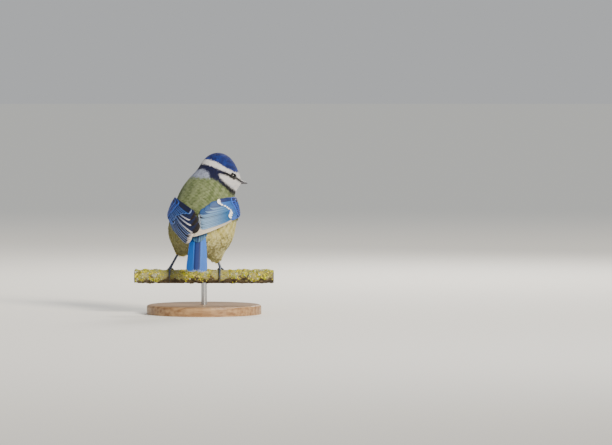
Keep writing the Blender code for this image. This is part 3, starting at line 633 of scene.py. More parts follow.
class Surface:
    """A material in the making, with the patterns that the finishes share."""

    def __init__(self, name: str, settings: dict) -> None:
        """Start a material.

        Args:
            name: Its name.
            settings: The shader's own values, by socket.
        """
        self.material = bpy.data.materials.new(name)
        self.material.use_nodes = True
        self.tree = self.material.node_tree
        self.shader = self.tree.nodes["Principled BSDF"]
        for socket, value in settings.items():
            self.shader.inputs[socket].default_value = value

    def shade(self) -> Socket:
        """The shade that is stored on the piece."""
        return add_node(self.tree, "ShaderNodeAttribute", {"attribute_name": "shade"}).outputs["Color"]

    def grain(self, size: float, detail: float, stretch: Point = (1.0, 1.0, 1.0)) -> Socket:
        """Spread an uneven grain through the piece.

        Args:
            size: How coarse it is, in millimetres.
            detail: How much finer grain lies on it.
            stretch: How dense it is along each axis.

        Returns:
            The grain, from 0 to 1.
        """
        place = add_node(self.tree, "ShaderNodeTexCoord").outputs["Object"]
        drawn = add_node(self.tree, "ShaderNodeMapping", {"Scale": stretch}, {"Vector": place})
        return add_node(self.tree, "ShaderNodeTexNoise", {"Scale": 1 / (size * MM), "Detail": detail},
                        {"Vector": drawn}).outputs["Fac"]

    def over(self, under: str | Socket, top: str | Socket, value: Socket, start: float, full: float,
             most: float = 1.0) -> Socket:
        """Lay one colour over another.

        Args:
            under: The lower colour.
            top: The upper colour.
            value: What decides where the upper one shows.
            start: The value where it begins.
            full: The value from which it has its full share.
            most: Its full share.

        Returns:
            The mixed colour.
        """
        share = add_node(self.tree, "ShaderNodeMapRange",
                         {"From Min": start, "From Max": full, "To Max": most}, {"Value": value})
        mixed = add_node(self.tree, "ShaderNodeMix", {"data_type": "RGBA"}, {0: share})
        for number, colour in ((6, under), (7, top)):
            if isinstance(colour, str):
                mixed.inputs[number].default_value = rgba(colour)
            else:
                self.tree.links.new(colour, mixed.inputs[number])
        return mixed.outputs[2]

    def toned(self, colour: Socket, value: Socket, low: float, high: float, dark: float,
              light: float) -> Socket:
        """Darken and lighten a colour by a value.

        Args:
            colour: The colour.
            value: What decides.
            low: The value where it is darkest.
            high: The value where it is lightest.
            dark: How dark that is.
            light: How light that is.

        Returns:
            The toned colour.
        """
        tone = add_node(self.tree, "ShaderNodeMapRange", {"From Min": low, "From Max": high, "To Min": dark,
                        "To Max": light}, {"Value": value})
        return add_node(self.tree, "ShaderNodeVectorMath", {"operation": "SCALE"},
                        {0: colour, "Scale": tone}).outputs[0]

    def shaded(self, colour: Socket) -> Socket:
        """A colour, darkened by the shade that is stored on the piece."""
        return add_node(self.tree, "ShaderNodeVectorMath", {"operation": "MULTIPLY"},
                        {0: colour, 1: self.shade()}).outputs[0]

    def dress(self, colour: Socket, height: Socket | None = None, strength: float = 0.5,
              depth: float = 0.0) -> Material:
        """Give the shader its colour and its relief.

        Args:
            colour: The colour.
            height: What stands up.
            strength: How far the relief tells.
            depth: Its height in millimetres.

        Returns:
            The finished material.
        """
        self.tree.links.new(colour, self.shader.inputs["Base Color"])
        if height is not None:
            bump = add_node(self.tree, "ShaderNodeBump", {"Strength": strength, "Distance": depth * MM},
                            {"Height": height})
            self.tree.links.new(bump.outputs[0], self.shader.inputs["Normal"])
        return self.material


@dataclass(frozen=True)
class Layer:
    """A colour that shows where a grain, or else the piece's own shade, stands high."""

    colour: str
    start: float = 0.3
    full: float = 0.7
    most: float = 1.0
    grain: int | None = 0


@dataclass(frozen=True)
class GrainFinish:
    """A finish coloured, toned and raised by grains of real sizes, the last of which stands up."""

    name: str
    roughness: float
    grains: tuple[tuple[float, float], ...]
    base: str | None = None
    layers: tuple[Layer, ...] = ()
    tones: tuple[float, float, float, float] | None = None
    shaded: bool = False
    stretch: Point = (1.0, 1.0, 1.0)
    relief: tuple[float, float] | None = None
    ior: float = 1.5
    gloss: float = 0.5
    sheen: float = 0.0

    def material(self) -> Material:
        """Build the finish; without a base colour it takes the piece's own shade.

        Returns:
            The material.
        """
        surface = Surface(self.name, {"Roughness": self.roughness, "IOR": self.ior,
                                      "Specular IOR Level": self.gloss, "Sheen Weight": self.sheen})
        grains = [surface.grain(size, detail, self.stretch) for size, detail in self.grains]
        colour = self.base or surface.shade()
        for layer in self.layers:
            value = surface.shade() if layer.grain is None else grains[layer.grain]
            colour = surface.over(colour, layer.colour, value, layer.start, layer.full, layer.most)
        if self.tones:
            colour = surface.toned(colour, grains[0], *self.tones)
        if self.shaded:
            colour = surface.shaded(colour)
        return surface.dress(colour, grains[-1], *self.relief) if self.relief else surface.dress(colour)


class Plain(Enum):
    """The finishes that follow a grain, each named for what the real thing is made of."""

    # Loose keratin barbs scatter the light: matt, with a faint sheen where it grazes them
    FEATHER = GrainFinish("contour_feather_keratin", 0.78, ((0.35, 2.0),), tones=(0.0, 1.0, 0.86, 1.12),
                          ior=1.54, gloss=0.2, sheen=0.04)
    DOWN = GrainFinish("down_keratin", 0.78, ((0.35, 2.0),), tones=(0.0, 1.0, 0.86, 1.12), ior=1.54,
                       gloss=0.2, sheen=0.04)
    # Smooth dense horn shines softly, and its worn edges are paler
    HORN = GrainFinish("bill_horn", 0.32, ((0.5, 4.0),), "#232227", (Layer("#34333a"),), shaded=True,
                       relief=(0.5, 0.01))
    CLAW = GrainFinish("claw_horn", 0.3, ((0.4, 4.0),), "#2a2a2e", (Layer("#55524e"),), shaded=True,
                       relief=(0.5, 0.01))
    # Dry scales and bare skin have a duller, broken gloss
    SCUTES = GrainFinish("leg_scute_keratin", 0.45, ((0.6, 4.0),), "#222b42", (Layer("#3d4965"),),
                         shaded=True, relief=(0.5, 0.02))
    LID = GrainFinish("eyelid_skin", 0.55, ((0.25, 4.0),), "#15161c", (Layer("#2b2c34"),), shaded=True,
                      relief=(0.5, 0.02))
    # Tears keep the eye wet, so it mirrors every lamp in one sharp point
    EYE = GrainFinish("wet_cornea", 0.03, ((2.0, 4.0),), "#ffffff", (Layer("#f4f4f4"),), shaded=True)
    # Old bark is rough, cracked along the grain, and has a crust of dead lichen on top
    BARK = GrainFinish("weathered_bark", 0.92, ((1.4, 6.0),), "#2b2419",
                       (Layer("#5d5138", 0.35, 0.65), Layer("#9a9560", 0.4, 1.0, 0.8, None)),
                       stretch=(0.35, 1.0, 1.0), relief=(0.8, 0.25))
    # Dry lichen is crumbly and quite matt
    LICHEN = GrainFinish("dry_lichen", 0.9, ((0.3, 3.0),), tones=(0.3, 0.7, 0.8, 1.15), relief=(0.6, 0.12))
    # Turned and oiled beech has fine straight grain, small pores and a soft sheen
    BEECH = GrainFinish("oiled_beech", 0.42, ((2.4, 4.0), (0.35, 2.0)), "#a98760",
                        (Layer("#7c5a39", 0.35, 0.65), Layer("#7c5a39", 0.6, 0.7, 0.45, 1)),
                        stretch=(0.08, 1.0, 1.0), relief=(0.3, 0.05))


class Unwrap:
    """The skin opened out: a cube's six sides round a centre, side by side on one sheet."""

    centre = np.array([5.0, 4.0, 55.0])
    margin = 0.012
    sides = ((0, 1), (0, -1), (1, 1), (1, -1), (2, 1), (2, -1))

    @classmethod
    def directions(cls, side: int, count: int) -> Array:
        """Spread directions over one side.

        Args:
            side: Its number.
            count: Steps along each edge.

        Returns:
            A grid of unit directions.
        """
        axis, sign = cls.sides[side]
        slant = np.tan(np.linspace(-np.pi / 4, np.pi / 4, count + 1))
        grid = np.ones((count + 1, count + 1, 3)) * sign
        grid[..., (axis + 1) % 3] = slant[:, None]
        grid[..., (axis + 2) % 3] = slant[None, :]
        return unit(grid)

    @classmethod
    def place(cls, directions: Array, side: Array | int | None = None) -> Array:
        """Find where directions fall on the sheet.

        Args:
            directions: Directions from the centre.
            side: The side each one belongs to, or none for its nearest.

        Returns:
            UV places.
        """
        if side is None:
            axis = np.argmax(np.abs(directions), axis=-1)
            chosen = np.take_along_axis(directions, axis[..., None], -1)[..., 0]
            side = axis * 2 + (chosen < 0)
        side = np.broadcast_to(side, directions.shape[:-1])
        axis = side // 2
        main = np.abs(np.take_along_axis(directions, axis[..., None], -1)[..., 0])
        flat = []
        for step in (1, 2):
            value = np.take_along_axis(directions, ((axis + step) % 3)[..., None], -1)[..., 0]
            flat.append(np.arctan(value / np.maximum(main, 1e-9)) / (np.pi / 2) + 0.5)
        inner = 1 - 2 * cls.margin
        u = (side % 3 + cls.margin + np.clip(flat[0], 0, 1) * inner) / 3
        v = (side // 3 + cls.margin + np.clip(flat[1], 0, 1) * inner) / 2
        return np.stack([u, v], axis=-1)


def eye_place(side: int) -> tuple[Array, Array]:
    """Find the middle of an eyeball, sunk under the plumage.

    Args:
        side: 1 for the right eye and -1 for the left.

    Returns:
        Its place and the way it looks.
    """
    start = BIRD.head_point(0.0, Eyes.forward, Eyes.up)
    outward = unit(side * BIRD.head_frame[0] + Eyes.forward_lean * BIRD.head_frame[1])
    distance = BIRD.reach(start, outward[None])[0]
    return start + outward * (distance - Eyes.sink), outward


@dataclass
class Skin:
    """The bird's skin: one closed surface under the coat, with the coat's lie and length on it."""

    steps: int = 96
    body_depth: float = 1.1
    head_depth: float = 0.75
    face_depth: float = 0.35
    eye_clear: float = 2.42
    wing_swell: float = 1.7
    lie_target: Point = (-4.0, -16.0, -14.0)

    def surface(self) -> tuple[Array, Array, Array]:
        """Lay a cube's grid over the plumage and join its sides.

        Returns:
            Points on the outer surface, triangles, and each corner's UV place.
        """
        grids = np.stack([Unwrap.directions(side, self.steps) for side in range(6)])
        keys = np.round(grids.reshape(-1, 3) * 1e5).astype(int)
        _, first, number = np.unique(keys, axis=0, return_index=True, return_inverse=True)
        directions = grids.reshape(-1, 3)[first]
        points = Unwrap.centre + directions * CLOTHED.reach(Unwrap.centre, directions)[:, None]
        row = self.steps + 1
        faces, corners = [], []
        for side in range(6):
            local = grid_faces(row, row, False)
            if Unwrap.sides[side][1] < 0:
                local = local[:, ::-1]
            faces.append(number.reshape(6, -1)[side][local])
            corners.append(Unwrap.place(grids[side].reshape(-1, 3)[local], side).reshape(-1, 2))
        return points, np.concatenate(faces), np.concatenate(corners)

    def depth_at(self, points: Array) -> Array:
        """How deep the skin lies under the coat: least on the face, most on the body."""
        head = smooth((MARKINGS.head_share(points) + 6) / 14)
        from_bill = np.linalg.norm(points - BIRD.head_point(0, Bill.seat, Bill.height), axis=1)
        face = smooth((16 - from_bill) / 12)
        on_head = self.head_depth * (1 - face) + self.face_depth * face
        return self.body_depth * (1 - head) + on_head * head

    def lie(self, points: Array, normals: Array) -> Array:
        """Find the way the feathers lie.

        Args:
            points: Places on the skin.
            normals: The skin's outward directions.

        Returns:
            Unit directions along the skin.
        """
        down = unit(np.array(self.lie_target) - points)
        back = unit(points - BIRD.head_point(0, Bill.seat - 2.0, Bill.height + 2.0))
        head = smooth((MARKINGS.head_share(points) + 12) / 24)[:, None]
        flow = unit(back * head + down * (1 - head))
        swirl = 0.12 * ripple(points, 9.0, 31)[:, None] * np.cross(normals, flow)
        flow = flow + swirl
        return unit(flow - normals * np.sum(flow * normals, axis=1, keepdims=True))

    def build(self, wings: list) -> Thing:
        """Make the skin, with what the coat reads from it.

        Args:
            wings: The folded wings, under which no coat grows.

        Returns:
            The skin.
        """
        outer, faces, corners = self.surface()
        normals = CLOTHED.normal(outer)
        swell = self.wing_swell * np.max([wing.covers(outer, 2.5, 8.0) for wing in wings], axis=0)
        points = outer - normals * (self.depth_at(outer) - swell)[:, None]
        thing = plain_mesh("skin", points, faces, Plain.DOWN.value.material(),
                           bake=corners, shade=MARKINGS.paint(points) * 0.6)
        self.write(thing, "lie", "FLOAT_VECTOR", self.lie(points, normals))
        growth = Growth(points, outer, wings)
        self.write(thing, "size", "FLOAT_VECTOR", growth.size())
        self.write(thing, "lift", "FLOAT", growth.lift())
        self.write(thing, "cover_head", "FLOAT", growth.cover() * growth.head)
        self.write(thing, "cover_body", "FLOAT", growth.cover() * (1 - growth.head))
        return thing

    @staticmethod
    def write(thing: Thing, name: str, kind: str, values: Array) -> None:
        """Store a value for each point of a mesh."""
        layer = thing.data.attributes.new(name, kind, "POINT")
        layer.data.foreach_set("vector" if kind == "FLOAT_VECTOR" else "value",
                               np.asarray(values, dtype=np.float32).ravel())


class Growth:
    """How the coat grows at places on the skin."""

    crown_length, nape_length, mantle_length, flank_length = 2.7, 4.4, 5.4, 5.8
    face_length = 1.15
    head_width, body_width = 0.75, 1.35
    head_lift, body_lift, scapular_lift = 0.24, 0.17, 0.27

    def __init__(self, points: Array, outer: Array, wings: list) -> None:
        """Measure the places.

        Args:
            points: Places on the skin.
            outer: The same places on the coat's outer surface.
            wings: The folded wings.
        """
        self.share = MARKINGS.head_share(points)
        self.head = (self.share > -3).astype(float)
        self.from_bill = np.linalg.norm(points - BIRD.head_point(0, Bill.seat, Bill.height), axis=1)
        self.from_eye = np.min([np.linalg.norm(outer - eye_place(s)[0], axis=1) for s in (-1, 1)], axis=0)
        self.rise = points[:, 2] - BIRD.body_centre[2]
        self.under = np.max([wing.covers(outer) for wing in wings], axis=0)
        self.border = np.max([wing.covers(outer, 5.0) for wing in wings], axis=0)

    def size(self) -> Array:
        """Width, length and thickness of the tufts."""
        along = smooth((self.from_bill - 1.5) / 13)
        head = self.face_length + (self.crown_length - self.face_length) * along
        head += (self.nape_length - self.crown_length) * smooth((14 - self.share) / 16) * along
        head *= 0.55 + 0.45 * smooth((self.from_eye - 2.9) / 2.5)
        low = smooth((4 - self.rise) / 14)
        body = self.mantle_length * (1 - low) + self.flank_length * low
        blend = smooth((self.share + 10) / 14)
        length = body * (1 - blend) + head * blend
        width = np.where(self.head > 0, self.head_width * (0.6 + 0.4 * along), self.body_width)
        return np.stack([width, length, width], axis=1)

    def lift(self) -> Array:
        """How far the tufts stand off the skin, in radians."""
        lift = np.where(self.head > 0, self.head_lift, self.body_lift)
        scapular = self.border * (1 - self.under) * (self.rise > 6)
        return lift + (self.scapular_lift - lift) * scapular

    def cover(self) -> Array:
        """Where the coat grows at all: not over an eye, the bill's root or under a wing."""
        eye = smooth((self.from_eye - Skin.eye_clear) / 0.4)
        bill = smooth((self.from_bill - 1.7) / 0.4)
        return eye * bill * (1 - self.under)


def read_back(thing: Thing, names: tuple[str, ...]) -> tuple[Array, Array, dict]:
    """Evaluate an object's Geometry Nodes and read the plain mesh that they make.

    Args:
        thing: The object with the modifier.
        names: Vector attributes to read.

    Returns:
        Points in the bird's frame, triangles, and each attribute's values.
    """
    bpy.context.view_layer.update()
    seen = thing.evaluated_get(bpy.context.evaluated_depsgraph_get())
    mesh = bpy.data.meshes.new_from_object(seen)
    verts = np.empty(len(mesh.vertices) * 3, dtype=np.float32)
    mesh.vertices.foreach_get("co", verts)
    mesh.calc_loop_triangles()
    faces = np.empty(len(mesh.loop_triangles) * 3, dtype=np.int32)
    mesh.loop_triangles.foreach_get("vertices", faces)
    values = {}
    for name in names:
        values[name] = np.empty(len(mesh.vertices) * 3, dtype=np.float32)
        mesh.attributes[name].data.foreach_get("vector", values[name])
        values[name] = values[name].reshape(-1, 3).astype(float)
    bpy.data.meshes.remove(mesh)
    return to_bird(verts.reshape(-1, 3).astype(float)), faces.reshape(-1, 3), values


class Scatter:
    """A Geometry Nodes tree that strews copies of small pieces over a surface, along its lie."""

    sockets = (("Geometry", "NodeSocketGeometry", None), ("Spacing", "NodeSocketFloat", 0.5 * MM),
               ("Density", "NodeSocketFloat", 1.0), ("Seed", "NodeSocketInt", 1),
               ("Cover", "NodeSocketString", "cover"), ("Pieces", "NodeSocketCollection", None),
               ("Turn", "NodeSocketFloat", 0.2), ("Finish", "NodeSocketMaterial", None))
    unevenness = (0.78, 1.22)

    def __init__(self) -> None:
        """Build the tree once."""
        tree = bpy.data.node_groups.new("scatter_along_lie", "GeometryNodeTree")
        for name, kind, value in self.sockets:
            socket = tree.interface.new_socket(name, in_out="INPUT", socket_type=kind)
            if value is not None:
                socket.default_value = value
        tree.interface.new_socket("Geometry", in_out="OUTPUT", socket_type="NodeSocketGeometry")
        given = add_node(tree, "NodeGroupInput").outputs
        stored = {}
        for name, kind in (("cover", "FLOAT"), ("lie", "FLOAT_VECTOR"), ("size", "FLOAT_VECTOR"),
                           ("lift", "FLOAT")):
            stored[name] = add_node(tree, "GeometryNodeInputNamedAttribute",
                                    {"data_type": kind, "Name": name})
        tree.links.new(given["Cover"], stored["cover"].inputs["Name"])
        drawn = []
        for number, (kind, low, high) in enumerate((("FLOAT_VECTOR", (-1.0,) * 3, (1.0,) * 3),
                                                    ("FLOAT", *self.unevenness), ("INT", 0, 5))):
            node = add_node(tree, "FunctionNodeRandomValue", {"data_type": kind, 2 * number: low,
                            2 * number + 1: high, "Seed": 11 + number})
            drawn.append(node.outputs[number])
        stray, uneven, choice = drawn
        spread = add_node(tree, "GeometryNodeDistributePointsOnFaces", {"distribute_method": "POISSON"},
                          {"Mesh": given["Geometry"], "Distance Min": given["Spacing"],
                           "Density Max": given["Density"], "Density Factor": stored["cover"],
                           "Seed": given["Seed"]})
        here = add_node(tree, "GeometryNodeInputPosition")
        rooted = add_node(tree, "GeometryNodeStoreNamedAttribute",
                          {"data_type": "FLOAT_VECTOR", "domain": "POINT", "Name": "root"},
                          {"Geometry": spread, "Value": here})
        facing = add_node(tree, "FunctionNodeAxesToRotation", {"primary_axis": "Z", "secondary_axis": "Y"},
                          {"Primary Axis": spread.outputs["Normal"],
                           "Secondary Axis": stored["lie"]})
        turned = add_node(tree, "ShaderNodeVectorMath", {"operation": "SCALE"},
                          {0: stray, "Scale": given["Turn"]})
        raised = add_node(tree, "ShaderNodeCombineXYZ", None, {"X": stored["lift"]})
        swing = add_node(tree, "ShaderNodeVectorMath", {"operation": "ADD"},
                         {0: turned, 1: raised})
        spin = add_node(tree, "FunctionNodeEulerToRotation", None, {0: swing})
        turn = add_node(tree, "FunctionNodeRotateRotation", {"rotation_space": "LOCAL"},
                        {"Rotation": facing, "Rotate By": spin})
        scale = add_node(tree, "ShaderNodeVectorMath", {"operation": "SCALE"},
                         {0: stored["size"], "Scale": uneven})
        pieces = add_node(tree, "GeometryNodeCollectionInfo", {"Separate Children": True,
                          "Reset Children": True}, {"Collection": given["Pieces"]})
        placed = add_node(tree, "GeometryNodeInstanceOnPoints", {"Pick Instance": True},
                          {"Points": rooted, "Instance": pieces,
                           "Instance Index": choice, "Rotation": turn,
                           "Scale": scale})
        real = add_node(tree, "GeometryNodeRealizeInstances", None, {"Geometry": placed})
        dressed = add_node(tree, "GeometryNodeSetMaterial", None,
                           {"Geometry": real, "Material": given["Finish"]})
        add_node(tree, "NodeGroupOutput", None, {"Geometry": dressed})
        self.tree = tree

    def strew(self, thing: Thing, shapes: list[tuple[Array, Array]], finish: Material, cover: str,
              spacing: float, density: float, seed: int, turn: float) -> tuple:
        """Strew copies of small pieces over an object, and read what comes out.

        Args:
            thing: The surface, with lie, size, lift and the cover on it.
            shapes: Points, one unit across, and triangles of each small piece.
            finish: Their material.
            cover: The attribute that says where they grow.
            spacing: The least distance between two, in millimetres.
            density: How many to try for on a square millimetre.
            seed: Fixes the places.
            turn: How far each strays from the lie, in radians.

        Returns:
            What read_back gives.
        """
        pieces = bpy.data.collections.new("pieces")
        for number, (verts, faces) in enumerate(shapes):
            mesh = bpy.data.meshes.new(f"piece_{number}")
            mesh.from_pydata([tuple(v * MM) for v in verts], [], [tuple(f) for f in faces])
            layer = mesh.attributes.new("place", "FLOAT_VECTOR", "POINT")
            layer.data.foreach_set("vector", np.asarray(verts, dtype=np.float32).ravel())
            mesh.polygons.foreach_set("use_smooth", [True] * len(faces))
            pieces.objects.link(bpy.data.objects.new(mesh.name, mesh))
        values = {"Spacing": spacing * MM, "Density": density / MM ** 2, "Seed": seed, "Cover": cover,
                  "Pieces": pieces, "Turn": turn, "Finish": finish}
        modifier = thing.modifiers.new("strewn", "NODES")
        modifier.node_group = self.tree
        for item in self.tree.interface.items_tree:
            if item.in_out == "INPUT" and item.name in values:
                modifier[item.identifier] = values[item.name]
        found = read_back(thing, ("root", "place"))
        thing.modifiers.remove(modifier)
        for piece in list(pieces.objects):
            bpy.data.meshes.remove(piece.data)
        bpy.data.collections.remove(pieces)
        return found


class Region(Enum):
    """The coat's pieces, by where their feathers grow."""

    CROWN = "coat_crown"
    FACE_RIGHT = "coat_face_right"
    FACE_LEFT = "coat_face_left"
    MANTLE_RIGHT = "coat_mantle_right"
    MANTLE_LEFT = "coat_mantle_left"
    BREAST_RIGHT = "coat_breast_right"
    BREAST_LEFT = "coat_breast_left"
    FLANK_RIGHT = "coat_flank_right"
    FLANK_LEFT = "coat_flank_left"
    BELLY_RIGHT = "coat_belly_right"
    BELLY_LEFT = "coat_belly_left"

    @staticmethod
    def sort(roots: Array, head: bool) -> dict["Region", Array]:
        """Share roots out among the pieces.

        Args:
            roots: Where feathers grow.
            head: Whether they are the head's.

        Returns:
            For each piece, which roots are its own.
        """
        if head:
            around, up, _ = BIRD.head_angles(roots)
            crown = up > 12
            return {Region.CROWN: crown, Region.FACE_RIGHT: ~crown & (around > 0),
                    Region.FACE_LEFT: ~crown & (around <= 0)}
        local = roots - np.array(BIRD.body_centre)
        right, back, high, low = local[:, 0] > 0, local[:, 1] < 0, local[:, 2] > 4, local[:, 2] < -14
        middle = ~low & (~high | ~back)
        own = {}
        for row, where in (("mantle", high & back), ("breast", middle & ~back), ("flank", middle & back),
                           ("belly", low)):
            own[Region(f"coat_{row}_right")] = where & right
            own[Region(f"coat_{row}_left")] = where & ~right
        return own


@dataclass
class Coat:
    """The feathers over the skin, in small tufts of barbs that lie along it."""

    head_spacing: float = 0.27
    head_density: float = 16.0
    body_spacing: float = 0.42
    body_density: float = 6.5
    head_strands: int = 3
    body_strands: int = 4
    variants: int = 6
    seed: int = 8
    turn: float = 0.16
    patch: float = 0.003
    root_shade: float = 0.5
    tip_shade: float = 1.12

    def tuft(self, strands: int, draw: Chance) -> tuple[Array, Array]:
        """Shape one tuft: a few tapered barbs side by side, one unit wide and long.

        Args:
            strands: How many barbs.
            draw: The source of chance.

        Returns:
            Points and triangles.
        """
        verts, faces = [], []
        pitch = 1.0 / strands
        for k in range(strands):
            across = (k + 0.5) * pitch - 0.5
            length = draw.uniform(0.78, 1.0) - 0.35 * abs(across)
            lean, half = across * 0.45 + draw.normal() * 0.05, pitch * 0.62
            rows = ((0.0, 0.35, 0.0), (0.55, 1.0, 0.16))
            start = len(verts)
            for t, share, rise in rows:
                x = across * 0.7 + lean * t
                verts += [(x - half * share, t * length, rise - 0.04),
                          (x + half * share, t * length, rise - 0.04), (x, t * length, rise + 0.13)]
            end = across * 0.7 + lean + draw.normal() * 0.05
            verts.append((end, length, 0.02 + draw.uniform(-0.03, 0.05)))
            a, b, c, d, e, f, tip = range(start, start + 7)
            faces += [(a, c, b), (a, b, e), (a, e, d), (b, c, f), (b, f, e), (c, a, d), (c, d, f),
                      (d, e, tip), (e, f, tip), (f, d, tip)]
        return np.array(verts), np.array(faces)

    def build(self, skin: Thing, scatter: Scatter) -> list[Thing]:
        """Grow the coat.

        Args:
            skin: The skin.
            scatter: The tree that strews tufts.

        Returns:
            The coat's pieces.
        """
        finish = Plain.FEATHER.value.material()
        draw = np.random.default_rng(5)
        grown = []
        for head, strands, spacing, density in (
                (True, self.head_strands, self.head_spacing, self.head_density),
                (False, self.body_strands, self.body_spacing, self.body_density)):
            tufts = [self.tuft(strands, draw) for _ in range(self.variants)]
            cover = "cover_head" if head else "cover_body"
            found = scatter.strew(skin, tufts, finish, cover, spacing, density, self.seed, self.turn)
            grown += self.dress(*found, finish, head)
        return grown

    def dress(self, points: Array, faces: Array, values: dict, finish: Material,
              head: bool) -> list[Thing]:
        """Colour the tufts and part them into pieces.

        Args:
            points: Their points.
            faces: Their triangles.
            values: Each point's root and its place on its tuft.
            finish: Their material.
            head: Whether they are the head's.

        Returns:
            The pieces.
        """
        roots, place = to_bird(values["root"]), values["place"]
        _, first, tuft = np.unique(np.round(roots, 4), axis=0, return_index=True, return_inverse=True)
        tuft = tuft.ravel()
        draw = np.random.default_rng(17)
        tone = draw.normal(1.0, 0.1 if head else 0.13, len(first))
        shade = MARKINGS.paint(roots[first]) * tone[:, None]
        # Painted shade, partly real: each tuft darkens towards its root, for the feather's own darker base
        # and for the shade among the tufts, and lightens a little at its tip
        along = np.clip(place[:, 1], 0, 1)[:, None]
        shade = np.clip(shade[tuft] * (self.root_shade + (self.tip_shade - self.root_shade) * along), 0, 1)
        sheet = Unwrap.place(unit(roots[first] - Unwrap.centre))[tuft]
        bake = sheet + (place[:, :2] - np.array([0.0, 0.5])) * self.patch
        pieces = []
        for region, own in Region.sort(roots[first], head).items():
            chosen = own[tuft[faces[:, 0]]]
            kept, local = np.unique(faces[chosen], return_inverse=True)
            if not len(kept):
                continue
            local = local.reshape(-1, 3)
            piece = plain_mesh(region.value, points[kept], local, finish, bake=bake[kept],
                               shade=shade[kept])
            log.info("%s: %d tufts, %d triangles", region.value, own.sum(), len(local))
            pieces.append(piece)
        return pieces


@dataclass(frozen=True)
class VaneFinish:
    """Stiff flight or covert feathers: satin keratin vanes with a shaft, edges, a tip and barbs."""

    name: str
    web: str
    edge: str
    edge_end: str
    tip: str
    edge_share: float
    inner_share: float = 0.0
    tip_share: float = 0.0
    shaft: str = "#161a26"
    shaft_at: float = 0.36
    shaft_inner: float = 0.012
    shaft_outer: float = 0.035
    # On a long feather real barbs are about three times as close; these are coarse enough to show
    barbs: float = 74.0
    barb_slant: float = 0.22
    barb_depth: float = 0.014
    ragged: float = 0.045
    roughness: float = 0.5
    ior: float = 1.54
    gloss: float = 0.32

    def material(self) -> Material:
        """Build the finish, whose pattern runs across the vane and along it from its root.

        Returns:
            The material.
        """
        surface = Surface(self.name, {"Roughness": self.roughness, "IOR": self.ior,
                                      "Specular IOR Level": self.gloss})
        tree = surface.tree
        uv = add_node(tree, "ShaderNodeUVMap", {"uv_map": "pattern"})
        across, along, _ = add_node(tree, "ShaderNodeSeparateXYZ", None, {0: uv}).outputs
        stray = add_node(tree, "ShaderNodeMapRange", {"To Min": -self.ragged, "To Max": self.ragged},
                         {"Value": surface.grain(1 / 1.1, 3.0)})
        side, length = (add_node(tree, "ShaderNodeMath", {"operation": "ADD"},
                                 {0: socket, 1: stray}).outputs[0] for socket in (across, along))
        edge = surface.over(self.edge, self.edge_end, length, 0.4, 0.95)
        colour = surface.over(self.web, edge, side, self.edge_share + 0.03, self.edge_share - 0.03)
        if self.inner_share:
            colour = surface.over(colour, edge, side, 0.97 - self.inner_share, 1.03 - self.inner_share)
        if self.tip_share:
            colour = surface.over(colour, self.tip, length, 0.98 - self.tip_share, 1.02 - self.tip_share)
        offset = add_node(tree, "ShaderNodeMath", {"operation": "SUBTRACT", 1: self.shaft_at}, {0: across})
        away = add_node(tree, "ShaderNodeMath", {"operation": "ABSOLUTE"}, {0: offset}).outputs[0]
        colour = surface.over(colour, self.shaft, away, self.shaft_outer, self.shaft_inner, 0.85)
        phase = add_node(tree, "ShaderNodeMath", {"operation": "MULTIPLY_ADD", 1: -self.barb_slant},
                         {0: away, 2: along})
        turns = add_node(tree, "ShaderNodeMath", {"operation": "MULTIPLY", 1: self.barbs * 2 * math.pi},
                         {0: phase})
        wave = add_node(tree, "ShaderNodeMath", {"operation": "SINE"}, {0: turns}).outputs[0]
        barbed = surface.toned(surface.shaded(colour), wave, -1.0, 1.0, 0.9, 1.06)
        return surface.dress(barbed, wave, 0.6, self.barb_depth)


class Vanes(Enum):
    """The finishes of the wing's and the tail's feathers."""

    PRIMARY = VaneFinish("primary_keratin", "#0c0f18", "#b4ab9c", "#d9d2c4", "#10131c", 0.15)
    # The left wing's finishes carry painted shade: their webs are darker than the right wing's, as that
    # wing lies in shade
    LEFT_PRIMARY = VaneFinish("left_primary_keratin", "#050812", "#3a5c9c", "#66759c", "#bdb4ac", 0.06,
                              tip_share=0.03)
    SECONDARY = VaneFinish("secondary_keratin", "#0a1226", "#1d5a90", "#7496b8", "#a9b6c6", 0.15,
                           tip_share=0.02)
    LEFT_SECONDARY = VaneFinish("left_secondary_keratin", "#060a1c", "#2f58a8", "#6f84b8", "#cfc4ba", 0.065,
                                tip_share=0.05)
    TERTIAL = VaneFinish("tertial_keratin", "#1c4478", "#2f6496", "#6488ac", "#7f9cb8", 0.2)
    LEFT_TERTIAL = VaneFinish("left_tertial_keratin", "#0e1a40", "#4a6cb0", "#f1ece6", "#120a08", 0.1,
                              tip_share=0.1)
    GREATER = VaneFinish("greater_covert_keratin", "#0f2258", "#24549c", "#2f64a8", "#f6f4f0", 0.28,
                         tip_share=0.13)
    LEFT_GREATER = VaneFinish("left_covert_keratin", "#0a1236", "#2350a4", "#2f60b0", "#7890c8", 0.18,
                              tip_share=0.045)
    LESSER = VaneFinish("lesser_covert_keratin", "#0b154a", "#1c40a4", "#2450b4", "#3262c4", 0.2, 0.14,
                        0.12)
    PRIMARY_COVERT = VaneFinish("primary_covert_keratin", "#0e1a48", "#2a4fa8", "#3a64b8", "#2a4898", 0.25)
    RECTRIX = VaneFinish("tail_keratin", "#0a2768", "#1264c4", "#1a5cb4", "#8fa4c4", 0.22, tip_share=0.015)
    TAIL_COVERT = VaneFinish("tail_covert_keratin", "#12335e", "#2a5c8c", "#3a6c90", "#3f6c86", 0.3, 0.2)


@dataclass(frozen=True)
class Tier:
    """A row of overlapping feathers: roots and tips as along and across, first to last."""

    name: str
    finish: Vanes
    count: int
    first_root: tuple[float, float]
    last_root: tuple[float, float]
    first_tip: tuple[float, float]
    last_tip: tuple[float, float]
    width: float
    level: float
    tilt: float
    bow: float = 0.0


